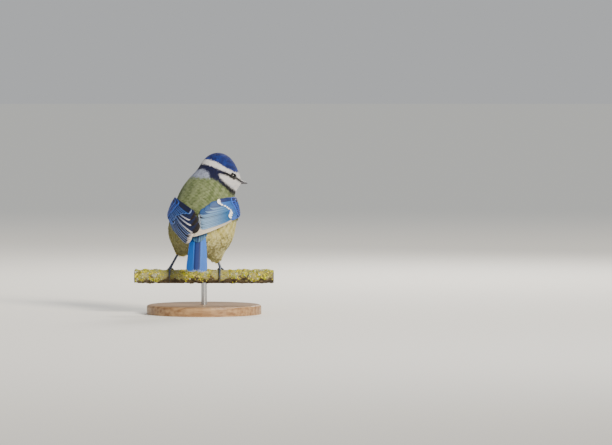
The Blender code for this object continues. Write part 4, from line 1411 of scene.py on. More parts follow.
@dataclass
class Vane:
    """One feather: a thin closed plate with a shaft, a rounded tip and a curved section."""

    root: Array
    tip: Array
    width: float
    level: Callable[[Array], Array]
    tilt: float
    thickness: float = 0.15
    camber: float = 0.1
    shaft_height: float = 0.07
    round_share: float = 0.62
    stations: int = 22
    ribs: tuple[float, ...] = (-1.0, -0.82, -0.5, -0.33, -0.28, -0.23, 0.1, 0.5, 0.85, 1.0)

    def plate(self, point_at: Callable) -> tuple[Array, Array, Array]:
        """Shape the feather on a wing or a tail.

        Args:
            point_at: Gives places from along, across and lift.

        Returns:
            Points, triangles and each point's place on the pattern.
        """
        root, tip = np.asarray(self.root, dtype=float), np.asarray(self.tip, dtype=float)
        length = float(np.linalg.norm(tip - root))
        heading = (tip - root) / length
        side = np.array([-heading[1], heading[0]])
        t = 1 - (1 - np.linspace(0, 1, self.stations)) ** 1.5
        end = min(self.round_share * self.width / length, 0.5)
        past = np.clip((t - (1 - end)) / end, 0, 1)
        half = self.width / 2 * np.minimum(0.5 + 1.1 * t, 1.0) * np.sqrt(np.maximum(1 - past ** 2, 0.0025))
        ribs = np.array(self.ribs)
        spread = half[:, None] * ribs
        middle = root + (tip - root) * t[:, None]
        along = middle[:, :1] + side[0] * spread
        across = middle[:, 1:] + side[1] * spread
        shaft = np.exp(-((ribs + 0.28) / 0.045) ** 2) * self.shaft_height * (1 - t[:, None])
        upper = self.level(t)[:, None] - self.tilt * spread - self.camber * ribs ** 2 + shaft
        under = upper - self.thickness * (1 - 0.55 * ribs ** 2) * (1 - 0.4 * t[:, None]) - shaft
        over_points, under_points = point_at(along, across, upper), point_at(along, across, under)
        pattern = np.stack([np.broadcast_to((ribs + 1) / 2, along.shape),
                            np.broadcast_to(t[:, None], along.shape)], -1)
        return plate_mesh(over_points, under_points, pattern)


def plate_mesh(over: Array, under: Array,
               pattern: Array) -> tuple[Array, Array, Array]:
    """Close two matching grids of points into a plate.

    Args:
        over: The upper grid.
        under: The lower grid.
        pattern: Each grid point's place on the pattern.

    Returns:
        Points, triangles and each point's place on the pattern.
    """
    rows, columns = over.shape[:2]
    shift = rows * columns
    number = np.arange(shift).reshape(rows, columns)
    top = grid_faces(rows, columns, False)
    rim = np.concatenate([number[0, :-1], number[:-1, -1], number[-1, :0:-1], number[:0:-1, 0]])
    after = np.roll(rim, -1)
    wall = np.concatenate([np.stack([rim, rim + shift, after + shift], 1),
                           np.stack([rim, after + shift, after], 1)])
    faces = np.concatenate([top, top[:, ::-1] + shift, wall])
    verts = np.concatenate([over.reshape(-1, 3), under.reshape(-1, 3)])
    return verts, faces, np.tile(pattern.reshape(-1, 2), (2, 1))


@dataclass
class Wing:
    """A folded wing, laid over the body by directions from its centre."""

    name: str
    side: int
    bend_turn: float
    bend_rise: float
    slope: float
    spread: float
    length: float
    upper_rise: float
    lower_drop: float
    tiers: tuple[Tier, ...]
    primaries: int = 8
    primary_width: float = 4.2
    primary_tilt: float = 0.25
    mm_per_degree: float = 0.489
    clearance: float = 0.55
    rump_lift: float = 3.4
    sunk: float = 2.7
    sunk_length: float = 11.0
    primary_finish: Vanes = Vanes.PRIMARY
    primary_root: tuple[float, float] = (12.0, 6.2)
    primary_root_step: tuple[float, float] = (2.0, 2.4)
    longest_primary: float = 0.44
    primary_level: float = 0.95
    tuck_start: float = 27.0
    tuck_length: float = 11.0
    arm_length: float = 27.0
    arm_height: float = 14.0
    elbow: float = 22.0
    stray: tuple[float, float] = (0.3, 0.12)
    uneven_tone: float = 0.06

    def point(self, along: Array, across: Array, lift: Array | float) -> Array:
        """Find places on the folded wing.

        Args:
            along: How far from the bend towards the tip.
            across: How far up from the leading edge.
            lift: How far off the wing's bed.

        Returns:
            Places in the bird's frame.
        """
        along, across, lift = np.broadcast_arrays(*map(np.asarray, (along, across * self.spread, lift)))
        slope = math.radians(self.slope)
        run = along * math.cos(slope) + across * math.sin(slope)
        climb = across * math.cos(slope) - along * math.sin(slope)
        turn = self.bend_turn - run / self.mm_per_degree
        rise = self.bend_rise + climb / self.mm_per_degree
        a, e = np.radians(turn * self.side), np.radians(rise)
        directions = np.stack([np.cos(e) * np.sin(a), -np.cos(e) * np.cos(a), np.sin(e)], axis=-1)
        bed = self.clearance + self.rump_lift * smooth((70 - np.abs(turn)) / 70) * smooth((5 - rise) / 22)
        bed = bed - self.sunk * smooth((self.sunk_length - along) / self.sunk_length)
        centre = np.array(BIRD.body_centre)
        return centre + directions * (BIRD.reach(centre, directions) + bed + lift)[..., None]

    def covers(self, points: Array, grow: float = 0.0, soft: float = 1.2) -> Array:
        """Tell how far places on the body are under the wing.

        Args:
            points: Places on the plumage.
            grow: How much wider than the wing to look.
            soft: How wide its edge is.

        Returns:
            0 outside the wing to 1 under it.
        """
        local = unit(points - np.array(BIRD.body_centre))
        turn = np.degrees(np.arctan2(local[:, 0], -local[:, 1])) * self.side
        rise = np.degrees(np.arcsin(local[:, 2]))
        run = (self.bend_turn - turn) * self.mm_per_degree
        climb = (rise - self.bend_rise) * self.mm_per_degree
        slope = math.radians(self.slope)
        along = run * math.cos(slope) - climb * math.sin(slope)
        across = (run * math.sin(slope) + climb * math.cos(slope)) / self.spread
        room = [along - 3.6, self.length - 12 - along, across - 5.2, 4.5 + self.arm_top(along) - across]
        return smooth((np.minimum.reduce(room) + grow) / soft + 0.5)

    def arm_top(self, along: Array) -> Array:
        """How far the feathered arm climbs from the bend to the elbow."""
        return self.arm_height * np.sin(np.pi / 2 * np.clip(along / self.elbow, 0, 1)) ** 0.8

    def rise_over(self, along: Array) -> Array:
        """How far upper feathers climb over the other wing."""
        return self.upper_rise * smooth((along - 25.0) / 12.0)

    def tier(self, tier: Tier, draw: Chance) -> Shape:
        """Lay out one row of feathers.

        Args:
            tier: The row.
            draw: The source of chance.

        Returns:
            The row's shape.
        """
        shape = Shape()
        for k in range(tier.count):
            share = k / max(tier.count - 1, 1)
            root = np.array(tier.first_root) * (1 - share) + np.array(tier.last_root) * share
            tip = np.array(tier.first_tip) * (1 - share) + np.array(tier.last_tip) * share
            tip = tip + draw.normal(size=2) * np.array(self.stray)
            tip[0] -= tier.bow * math.sin(math.pi * share ** 0.75)
            self.lay(shape, Vane(root, tip, tier.width, lambda t: (
                tier.level - 0.35 * (1 - t) + self.rise_over(root[0] + (tip[0] - root[0]) * t)),
                tier.tilt), draw)
        return shape

    def lay(self, shape: Shape, vane: Vane, draw: Chance) -> None:
        """Add one feather to a shape, a little lighter or darker than its neighbours."""
        verts, faces, pattern = vane.plate(self.point)
        tone = np.full((len(verts), 3), draw.normal(1.0, self.uneven_tone))
        shape.add(verts, faces, pattern, tone)

    def flight(self, draw: Chance) -> Shape:
        """Lay out the outer flight feathers, the longest near the leading edge.

        Args:
            draw: The source of chance.

        Returns:
            Their shape.
        """
        shape = Shape()
        for k in range(self.primaries):
            share = k / (self.primaries - 1)
            root = np.array(self.primary_root) + np.array(self.primary_root_step) * share
            shorter = 0.35 * (share - self.longest_primary) ** 2
            tip = np.array([self.length * (1 - shorter), 4.0 + 4.4 * share])
            tuck = self.lower_drop * (1 - share ** 2)
            self.lay(shape, Vane(root, tip, self.primary_width, lambda t: (
                self.primary_level - 0.3 * (1 - t)
                - tuck * smooth((root[0] + (tip[0] - root[0]) * t - self.tuck_start) / self.tuck_length)),
                self.primary_tilt), draw)
        return shape

    def arm(self) -> Shape:
        """Shape the feathered arm that carries every row.

        Returns:
            Its shape.
        """
        alongs = np.linspace(0.6, self.arm_length, 30)[:, None]
        low = 3.2 + 1.4 * np.sin(np.pi * alongs / self.arm_length)
        high = 5.0 + self.arm_top(alongs)
        fraction = np.linspace(0, 1, 16)[None]
        across = low * (1 - fraction) + high * fraction
        along = np.broadcast_to(alongs, across.shape)
        edge = np.minimum(fraction, 1 - fraction) * np.ones_like(alongs)
        crown = 0.5 + 0.9 * smooth(edge / 0.25)
        pattern = np.stack([np.broadcast_to(fraction, across.shape), along / self.arm_length], -1)
        verts, faces, pattern = plate_mesh(self.point(along, across, crown),
                                           self.point(along, across, 0.15), pattern)
        shape = Shape()
        shape.add(verts, faces, pattern, np.full((len(verts), 3), 0.8))
        return shape

    def build(self, draw: Chance) -> list[Thing]:
        """Make the wing's rows of feathers.

        Args:
            draw: The source of chance.

        Returns:
            Its pieces, the first of which stands for the whole wing.
        """
        rows = [("primaries", self.flight(draw), self.primary_finish), ("arm", self.arm(), Vanes.LESSER)]
        rows += [(tier.name, self.tier(tier, draw), tier.finish) for tier in self.tiers]
        pieces = []
        for name, shape, finish in rows:
            pieces.append(gathered_mesh(f"{self.name}_{name}", shape, finish.value.material()))
        return pieces


RIGHT_INNER_TIERS = (
    Tier("secondaries", Vanes.SECONDARY, 8,
         (13.0, 8.0), (15.0, 14.6), (53.0, 7.9), (51.0, 15.0), 6.2, 1.15, 0.16),
    Tier("tertials", Vanes.TERTIAL, 3,
         (14.0, 15.2), (17.0, 17.8), (50.0, 15.8), (43.0, 19.0), 6.2, 1.45, 0.13),
)
LEFT_INNER_TIERS = (
    Tier("secondaries", Vanes.LEFT_SECONDARY, 6,
         (13.0, 8.4), (15.0, 13.8), (46.0, 8.2), (45.0, 14.4), 6.0, 1.15, 0.2),
    Tier("tertials", Vanes.LEFT_TERTIAL, 3,
         (16.0, 13.4), (19.0, 16.4), (46.5, 16.2), (39.5, 19.8), 6.4, 1.45, 0.16),
)


def upper_tiers(greater: Vanes) -> tuple[Tier, ...]:
    """Name a wing's rows of coverts, from the flight feathers up to its bend.

    Args:
        greater: The greater coverts' finish.

    Returns:
        The rows.
    """
    return (
        Tier("primary_coverts", Vanes.PRIMARY_COVERT, 4,
             (6.0, 5.0), (7.0, 7.2), (25.0, 5.8), (27.0, 7.8), 2.6, 1.65, 0.2),
        Tier("greater_coverts", greater, 10,
             (9.0, 8.0), (15.0, 18.4), (28.0, 8.4), (35.8, 20.6), 3.9, 1.8, 0.13, 5.0),
        Tier("alula", Vanes.PRIMARY_COVERT, 2,
             (4.0, 4.9), (4.0, 5.8), (17.5, 5.4), (16.0, 6.6), 2.4, 1.95, 0.15),
        Tier("median_coverts", Vanes.LESSER, 9,
             (5.0, 6.2), (9.5, 16.6), (16.5, 6.8), (22.5, 18.6), 3.2, 2.0, 0.1),
        Tier("middle_lesser_coverts", Vanes.LESSER, 8,
             (3.2, 5.6), (7.0, 14.6), (11.6, 6.0), (17.0, 16.6), 2.9, 2.12, 0.1),
        Tier("lesser_coverts", Vanes.LESSER, 7,
             (1.8, 5.2), (5.0, 12.2), (7.8, 5.6), (12.6, 14.4), 2.6, 2.24, 0.1),
        Tier("marginal_coverts", Vanes.LESSER, 6,
             (0.6, 4.4), (3.4, 9.8), (4.6, 4.6), (8.2, 11.4), 2.3, 2.34, 0.1),
    )


@dataclass
class Tail:
    """The tail: twelve feathers in a stack that hangs behind the branch, with coverts over its root."""

    root: Point = (-3.6, -24.0, 31.0)
    tip: Point = (-4.8, -32.2, -0.2)
    roof: float = 0.016
    width: float = 5.2
    step: float = 0.33
    top: float = 0.75

    def point(self, along: Array, across: Array, lift: Array | float) -> Array:
        """Find places on the tail.

        Args:
            along: How far down from its root.
            across: How far across it.
            lift: How far off its back.

        Returns:
            Places in the bird's frame.
        """
        along, across, lift = np.broadcast_arrays(*map(np.asarray, (along, across, lift)))
        root = np.array(self.root)
        axis = unit(np.array(self.tip) - root)
        sideways = unit(np.cross(axis, (0.0, 1.0, 0.0)))
        back = unit(np.cross(axis, sideways))
        lift = lift - self.roof * across ** 2
        return root + along[..., None] * axis + across[..., None] * sideways + lift[..., None] * back

    @property
    def length(self) -> float:
        """From root to tip."""
        return float(np.linalg.norm(np.array(self.tip) - np.array(self.root)))

    def rectrices(self) -> Shape:
        """Lay out the twelve long feathers, the middle pair on top.

        Returns:
            Their shape.
        """
        shape = Shape()
        draw = np.random.default_rng(41)
        for side in (-1, 1):
            for k in range(6):
                notch = 0.6 - 0.3 * k if k < 2 else 0.1 * (k - 2) ** 2
                root = (-6.0, side * (0.7 + 0.34 * k))
                tip = (self.length - notch, side * (1.0 + 0.91 * k))
                top = self.top - self.step * (k + (0.5 if side < 0 else 0.0))
                self.lay(shape, root, tip, self.width, top, draw, side)
        return shape

    def lay(self, shape: Shape, root: tuple, tip: tuple, width: float, top: float,
            draw: Chance, side: int) -> None:
        """Add one feather whose outer edge is on its own side of the tail.

        Args:
            shape: What it joins.
            root: Where it starts, along and across.
            tip: Where it ends.
            width: Its width.
            top: Its height.
            draw: The source of chance.
            side: 1 for the side where across grows.
        """
        mirror = -side
        vane = Vane((root[0], mirror * root[1]), (tip[0], mirror * tip[1]), width,
                    lambda t: np.full_like(t, top), 0.0)
        verts, faces, pattern = vane.plate(lambda a, c, h: self.point(a, mirror * c, h))
        shape.add(verts, faces, pattern, np.full((len(verts), 3), draw.normal(1.0, 0.05)))

    def coverts(self, draw: Chance) -> Shape:
        """Lay out the soft feathers over and under the tail's root.

        Args:
            draw: The source of chance.

        Returns:
            Their shape.
        """
        shape = Shape()
        for count, root, tip, fall, spread, width, level, step in (
                (7, (-7.0, 1.3), 10.0, 0.5, 1.7, 3.8, 1.5, -0.12),
                (6, (-6.0, 1.5), 15.0, 0.8, 1.5, 4.4, -1.75, 0.12)):
            for k in range(count):
                off = k - (count - 1) / 2
                height = level + step * abs(off) - (0.06 if off < 0 else 0.0)
                self.lay(shape, (root[0], root[1] * off), (tip - fall * off ** 2, spread * off), width,
                         height, draw, -1 if off < 0 else 1)
        return shape

    def build(self) -> list[Thing]:
        """Make the tail.

        Returns:
            Its pieces.
        """
        return [gathered_mesh("tail_feathers", self.rectrices(), Vanes.RECTRIX.value.material()),
                gathered_mesh("tail_coverts", self.coverts(np.random.default_rng(43)),
                              Vanes.TAIL_COVERT.value.material())]


@dataclass
class Eyes:
    """Two wet dark eyes in their lids."""

    forward: float = 4.6
    up: float = -1.1
    forward_lean: float = 0.22
    sink: float = 2.4
    radius: float = 3.1
    lid_radius: float = 2.3
    lid_thickness: float = 0.12
    lid_corner: float = 0.22
    lid_wrinkle: float = 0.16
    pupil: float = 0.6
    iris: str = "#160a05"
    dark: str = "#040404"

    def ball(self, side: int) -> Shape:
        """Shape an eyeball, with its pupil and iris in its shade.

        Args:
            side: 1 for the right and -1 for the left.

        Returns:
            Its shape.
        """
        centre, outward = eye_place(side)
        across = unit(np.cross(outward, BIRD.head_frame[2]))
        axes = np.stack([across, np.cross(outward, across), outward])
        polar = np.linspace(0, np.pi, 42)[1:-1]
        turn = np.linspace(0, 2 * np.pi, 48, endpoint=False)
        local = np.stack([np.sin(polar)[:, None] * np.cos(turn), np.sin(polar)[:, None] * np.sin(turn),
                          np.cos(polar)[:, None] * np.ones_like(turn)], -1) * self.radius
        rings = centre + local @ axes
        verts, faces = ringed(rings, centre + outward * self.radius, centre - outward * self.radius)
        angle = np.concatenate([np.repeat(polar, len(turn)), [0.0, np.pi]])
        ring = smooth((angle - self.pupil) / 0.08)[:, None] * smooth((0.86 - angle) / 0.1)[:, None]
        shade = linear(self.dark) * (1 - ring) + linear(self.iris) * ring
        around = np.concatenate([np.tile(turn, len(polar)), [0, 0]]) / (2 * np.pi)
        pattern = np.stack([around, angle / np.pi], 1)
        shape = Shape()
        shape.add(verts, faces, pattern, shade)
        return shape

    def lid(self, side: int) -> Shape:
        """Shape the ring of bare skin round an eye, pinched a little into corners.

        Args:
            side: 1 for the right and -1 for the left.

        Returns:
            Its shape.
        """
        centre, outward = eye_place(side)
        forward = unit(BIRD.head_frame[1] - outward * np.dot(BIRD.head_frame[1], outward))
        rise = np.cross(outward, forward) * (1 if np.dot(np.cross(outward, forward), [0, 0, 1]) > 0 else -1)
        turn = np.linspace(0, 2 * np.pi, 64, endpoint=False)
        small = np.linspace(0, 2 * np.pi, 10, endpoint=False)
        reach = self.lid_radius + self.lid_corner * np.abs(np.cos(turn)) ** 6
        height = math.sqrt(self.radius ** 2 - (self.lid_radius - 0.15) ** 2)
        thick = self.lid_thickness * (1 + self.lid_wrinkle * np.sin(23 * turn))
        spoke = np.cos(turn)[:, None] * forward + np.sin(turn)[:, None] * rise
        section = np.cos(small)[:, None] * spoke[:, None] + np.sin(small)[:, None] * outward
        verts = centre + outward * height + (spoke * reach[:, None])[:, None]
        verts = verts + thick[:, None, None] * section
        a = np.arange(len(turn) * len(small)).reshape(len(turn), len(small))
        b = np.roll(a, -1, axis=1)
        c, d = np.roll(b, -1, axis=0), np.roll(a, -1, axis=0)
        faces = np.stack([a, b, c, a, c, d], -1).reshape(-1, 3)
        pattern = np.stack(np.meshgrid(small / 6.3, turn / 6.3), -1)
        shape = Shape()
        shape.add(verts, faces, pattern)
        return shape

    def build(self) -> list[Thing]:
        """Make both eyes and their lids.

        Returns:
            The right eye, the left eye, and the lids of each.
        """
        made = []
        for side, word in ((1, "right"), (-1, "left")):
            made.append(gathered_mesh(f"eye_{word}_ball", self.ball(side), Plain.EYE.value.material()))
            made.append(gathered_mesh(f"eyelid_{word}", self.lid(side), Plain.LID.value.material()))
        return made


@dataclass
class Bill:
    """A short stout bill, whose halves meet along the line of the mouth."""

    seat: float = 17.2
    height: float = -4.3
    length: float = 6.7
    half_width: float = 1.75
    upper_depth: float = 1.95
    lower_depth: float = 1.45
    tip_share: float = 0.08
    tip_drop: float = 0.25
    rooted: float = 2.2
    gap: float = 0.1
    bristles: int = 9

    def mandible(self, depth: float, half_width: float, direction: int) -> Shape:
        """Shape one half: a flat inner face and an arched outer one, tapering to its tip.

        Args:
            depth: Its height at the root.
            half_width: Half its width at the root.
            direction: 1 for the upper half and -1 for the lower.

        Returns:
            Its shape.
        """
        rings, middles, shades, patterns = [], [], [], []
        arch = np.linspace(0, np.pi, 19)
        floor = np.linspace(-1, 1, 7)[1:-1]
        for t in np.linspace(-self.rooted / self.length, 1, 34):
            size = (1 - max(t, 0)) ** 0.8 * (1 - self.tip_share) + self.tip_share
            forward = self.seat + t * self.length
            drop = self.height + direction * self.gap / 2 - self.tip_drop * max(t, 0) ** 2
            ridge = np.abs(np.sin(arch)) ** 0.85
            right = np.concatenate([half_width * size * np.cos(arch), floor * half_width * size])
            up = np.concatenate([drop + direction * depth * size * ridge, np.full(len(floor), drop)])
            rings.append(np.stack([BIRD.head_point(r, forward, u) for r, u in zip(right, up)]))
            middles.append(BIRD.head_point(0.0, forward, drop + direction * depth * size * 0.4))
            edge = np.concatenate([1 - np.abs(np.sin(arch)), np.ones(len(floor))])
            shades.append(1.0 + 2.6 * smooth((edge - 0.72) / 0.25))
            run = np.full(len(right), (t + 0.4) / 1.4)
            patterns.append(np.stack([np.linspace(0, 1, len(right)), run], -1))
        verts, faces = ringed(np.array(rings), middles[0], middles[-1])
        shade = np.concatenate([np.concatenate(shades), [1.0, 1.0]])[:, None] * np.ones(3)
        pattern = np.concatenate([np.concatenate(patterns), [[0.5, 0.0], [0.5, 1.0]]])
        shape = Shape()
        shape.add(verts, faces, pattern, shade)
        return shape

    def bristle_shape(self) -> Shape:
        """Lay out the stiff bristles over the nostrils and by the corners of the mouth.

        Returns:
            Their shape.
        """
        draw = np.random.default_rng(12)
        shape = Shape()
        for side in (-1, 1):
            for k in range(self.bristles):
                share = k / (self.bristles - 1)
                start = BIRD.head_point(side * (0.7 + 1.2 * share), self.seat - 0.5 - 0.6 * share,
                                        self.height + 1.9 - 1.9 * share)
                away = np.array([side * (0.25 + 0.35 * share), 1.0, 0.15 - 0.35 * share])
                away = unit(away + draw.normal(size=3) * 0.1) @ BIRD.head_frame
                drop = np.array([0.0, 0.0, -0.5])
                length = draw.uniform(1.6, 2.4)
                t = np.linspace(0, 1, 6)[:, None]
                path = start + away * t * length + drop * t ** 2 * 0.5
                verts, faces = tube(path, np.linspace(0.06, 0.015, 6), 4)
                shape.add(verts, faces)
        return shape

    def build(self) -> list[Thing]:
        """Make the bill and its bristles.

        Returns:
            The upper half, the lower half and the bristles.
        """
        horn = Plain.HORN.value.material()
        upper = self.mandible(self.upper_depth, self.half_width, 1)
        lower = self.mandible(self.lower_depth, self.half_width * 0.92, -1)
        return [gathered_mesh("bill_upper_horn", upper, horn),
                gathered_mesh("bill_lower_horn", lower, horn),
                gathered_mesh("bill_bristles", self.bristle_shape(), Plain.LID.value.material())]


@dataclass
class Branch:
    """A cut length of branch with bark, cut ends and lichen."""

    radius: float = PERCH_RADIUS
    half_length: float = 52.0
    relief: float = 0.35
    end_bulge: float = 0.3
    feet: tuple[float, float] = (-25.4, 12.2)
    sides: int = 84
    rings: int = 420
    lichen_spacing: float = 0.62
    lichen_density: float = 2.6
    lichen_kinds: tuple[str, ...] = ("#a8b27c", "#c6c8ae", "#d2c61c", "#a9b02c", "#dcd044", "#7f7a30")

    def bark(self, along: Array, turn: Array) -> Array:
        """The branch's radius: knots and bark away from the feet, round under the toes."""
        swell = (0.55 * np.sin(0.31 * along + 1.3) * np.cos(2 * turn + 0.12 * along)
                 + 0.45 * np.sin(0.83 * along + 3 * turn) + 0.3 * np.sin(1.7 * along - 5 * turn + 0.7))
        away = np.minimum(np.abs(along - self.feet[0]), np.abs(along - self.feet[1]))
        return self.radius + self.relief * swell * smooth((away - 5.5) / 4.0)

    def point(self, along: Array, turn: Array, lift: Array | float) -> Array:
        """Find places over the branch.

        Args:
            along: How far along it, to the bird's right.
            turn: Radians from its top to its far side.
            lift: How far off the bark.

        Returns:
            Places in the bird's frame.
        """
        along, turn, lift = np.broadcast_arrays(along, turn, lift)
        reach = self.bark(along, turn) + lift
        return np.stack([along, reach * np.sin(turn), reach * np.cos(turn) - self.radius], -1)

    def wood(self) -> Thing:
        """Make the bark, and store where lichen grows on it.

        Returns:
            The branch without lichen.
        """
        turn = np.linspace(0, 2 * np.pi, self.sides, endpoint=False)[None]
        along = np.linspace(-self.half_length, self.half_length, self.rings)[:, None]
        rough = self.point(along, turn, 0.0)
        cracks = ripple(rough * np.array([0.45, 1.0, 1.0]), 1.6, 61)
        warts = ripple(rough, 0.9, 62)
        fine = -0.16 * smooth((cracks - 0.25) / 0.6) - 0.06 * smooth(warts)
        rings = self.point(along, turn, fine)
        ends = []
        for sign, ring in ((-1, rings[0]), (1, rings[-1])):
            hub = np.array([sign * self.half_length, 0.0, -self.radius])
            out = np.array([sign * self.end_bulge, 0.0, 0.0])
            ends.append(([hub + (ring - hub) * share + out for share in (0.96, 0.66, 0.33)], hub + out))
        stack = np.concatenate([ends[0][0][::-1], rings, ends[1][0]])
        verts, faces = ringed(stack, ends[0][1], ends[1][1])
        faces = outward(verts, faces)
        grown = np.clip((verts[:, 2] + self.radius) / self.radius, -1, 1)
        patchy = ripple(verts, 9.0, 63) * 0.35 + ripple(verts, 3.5, 64) * 0.25
        cover = smooth((grown + 0.75 + patchy) / 0.7) * (np.abs(verts[:, 0]) < self.half_length - 0.4)
        pattern = np.stack([np.arctan2(verts[:, 1], verts[:, 2] + self.radius) / (2 * np.pi) + 0.5,
                            verts[:, 0] / (2 * self.half_length) + 0.5], 1)
        thing = plain_mesh("branch_bark", verts, faces, Plain.BARK.value.material(), bake=pattern,
                           shade=cover[:, None] * np.ones(3))
        hub = verts * np.array([1.0, 0.0, 0.0]) + np.array([0.0, 0.0, -self.radius])
        facing = unit(verts - hub)
        stray = unit(np.random.default_rng(6).normal(size=verts.shape))
        Skin.write(thing, "lie", "FLOAT_VECTOR", unit(np.cross(facing, stray)))
        near = np.minimum(np.abs(verts[:, 0] - self.feet[0]), np.abs(verts[:, 0] - self.feet[1]))
        size = (0.5 + 0.5 * smooth((near - 4.5) / 4.0)) * (0.85 + 0.3 * ripple(verts, 5.0, 65))
        Skin.write(thing, "size", "FLOAT_VECTOR", np.repeat(size[:, None], 3, axis=1))
        Skin.write(thing, "lift", "FLOAT", np.full(len(verts), 0.0))
        Skin.write(thing, "cover", "FLOAT", cover)
        return thing

    def lobe(self, draw: Chance) -> tuple[Array, Array]:
        """Shape one small lichen lobe: a crinkled, rooted cup with a rolled rim.

        Args:
            draw: The source of chance.

        Returns:
            Points and triangles.
        """
        sides = 8
        turn = np.linspace(0, 2 * np.pi, sides, endpoint=False)
        wave = 1 + 0.25 * np.sin(turn * draw.integers(2, 4) + draw.uniform(0, 6))
        wave = wave + draw.normal(size=sides) * 0.12
        rows = ((0.25, -0.15, 0), (0.5, 0.18, 0.1), (0.62, 0.42, 0.3), (0.4, 0.4, 0.2))
        rings = []
        for radius, height, crinkle in rows:
            out = radius * wave
            up = height + crinkle * 0.5 * np.sin(3 * turn + draw.uniform(0, 6))
            rings.append(np.stack([out * np.cos(turn), out * np.sin(turn), up], -1))
        return ringed(np.array(rings), np.array([0, 0, -0.2]), np.array([0, 0, draw.uniform(0.15, 0.4)]))

    def lichen_colours(self, roots: Array) -> Array:
        """Pick each lobe's colour, in drifts of one kind.

        Args:
            roots: Where the lobes grow.

        Returns:
            Linear red, green and blue.
        """
        draw = np.random.default_rng(19)
        kinds = np.array([linear(kind) for kind in self.lichen_kinds])
        drift = ripple(roots, 6.0, 71) + 0.9 * draw.normal(size=len(roots))
        choice = np.clip(((drift + 2.0) / 4.0 * len(kinds)).astype(int), 0, len(kinds) - 1)
        return kinds[choice] * draw.uniform(0.75, 1.15, (len(roots), 1))

    def lichen(self, wood: Thing, scatter: Scatter) -> Thing:
        """Strew lichen over the bark.

        Args:
            wood: The branch.
            scatter: The tree that strews pieces.

        Returns:
            The lichen.
        """
        draw = np.random.default_rng(7)
        lobes = [self.lobe(draw) for _ in range(6)]
        material = Plain.LICHEN.value.material()
        points, faces, values = scatter.strew(wood, lobes, material, "cover", self.lichen_spacing,
                                              self.lichen_density, 9, 0.7)
        roots = to_bird(values["root"])
        _, first, lobe = np.unique(np.round(roots, 4), axis=0, return_index=True, return_inverse=True)
        lobe = lobe.ravel()
        shade = self.lichen_colours(roots[first])[lobe]
        # Painted light: each lobe is darker towards its root and lighter towards its rim, as if shaded low
        # down and lit on top
        shade = shade * (0.55 + 0.6 * np.clip(values["place"][:, 2] + 0.2, 0, 1))[:, None]
        turn = np.arctan2(roots[:, 1], roots[:, 2] + self.radius) / (2 * np.pi) + 0.5
        bake = np.stack([turn, roots[:, 0] / (2 * self.half_length) + 0.5], 1) * 0.99
        bake += values["place"][:, :2] * 0.003
        thing = plain_mesh("branch_lichen", points, faces, material, bake=bake,
                           shade=np.clip(shade, 0, 1))
        log.info("branch_lichen: %d lobes, %d triangles", len(first), len(faces))
        return thing


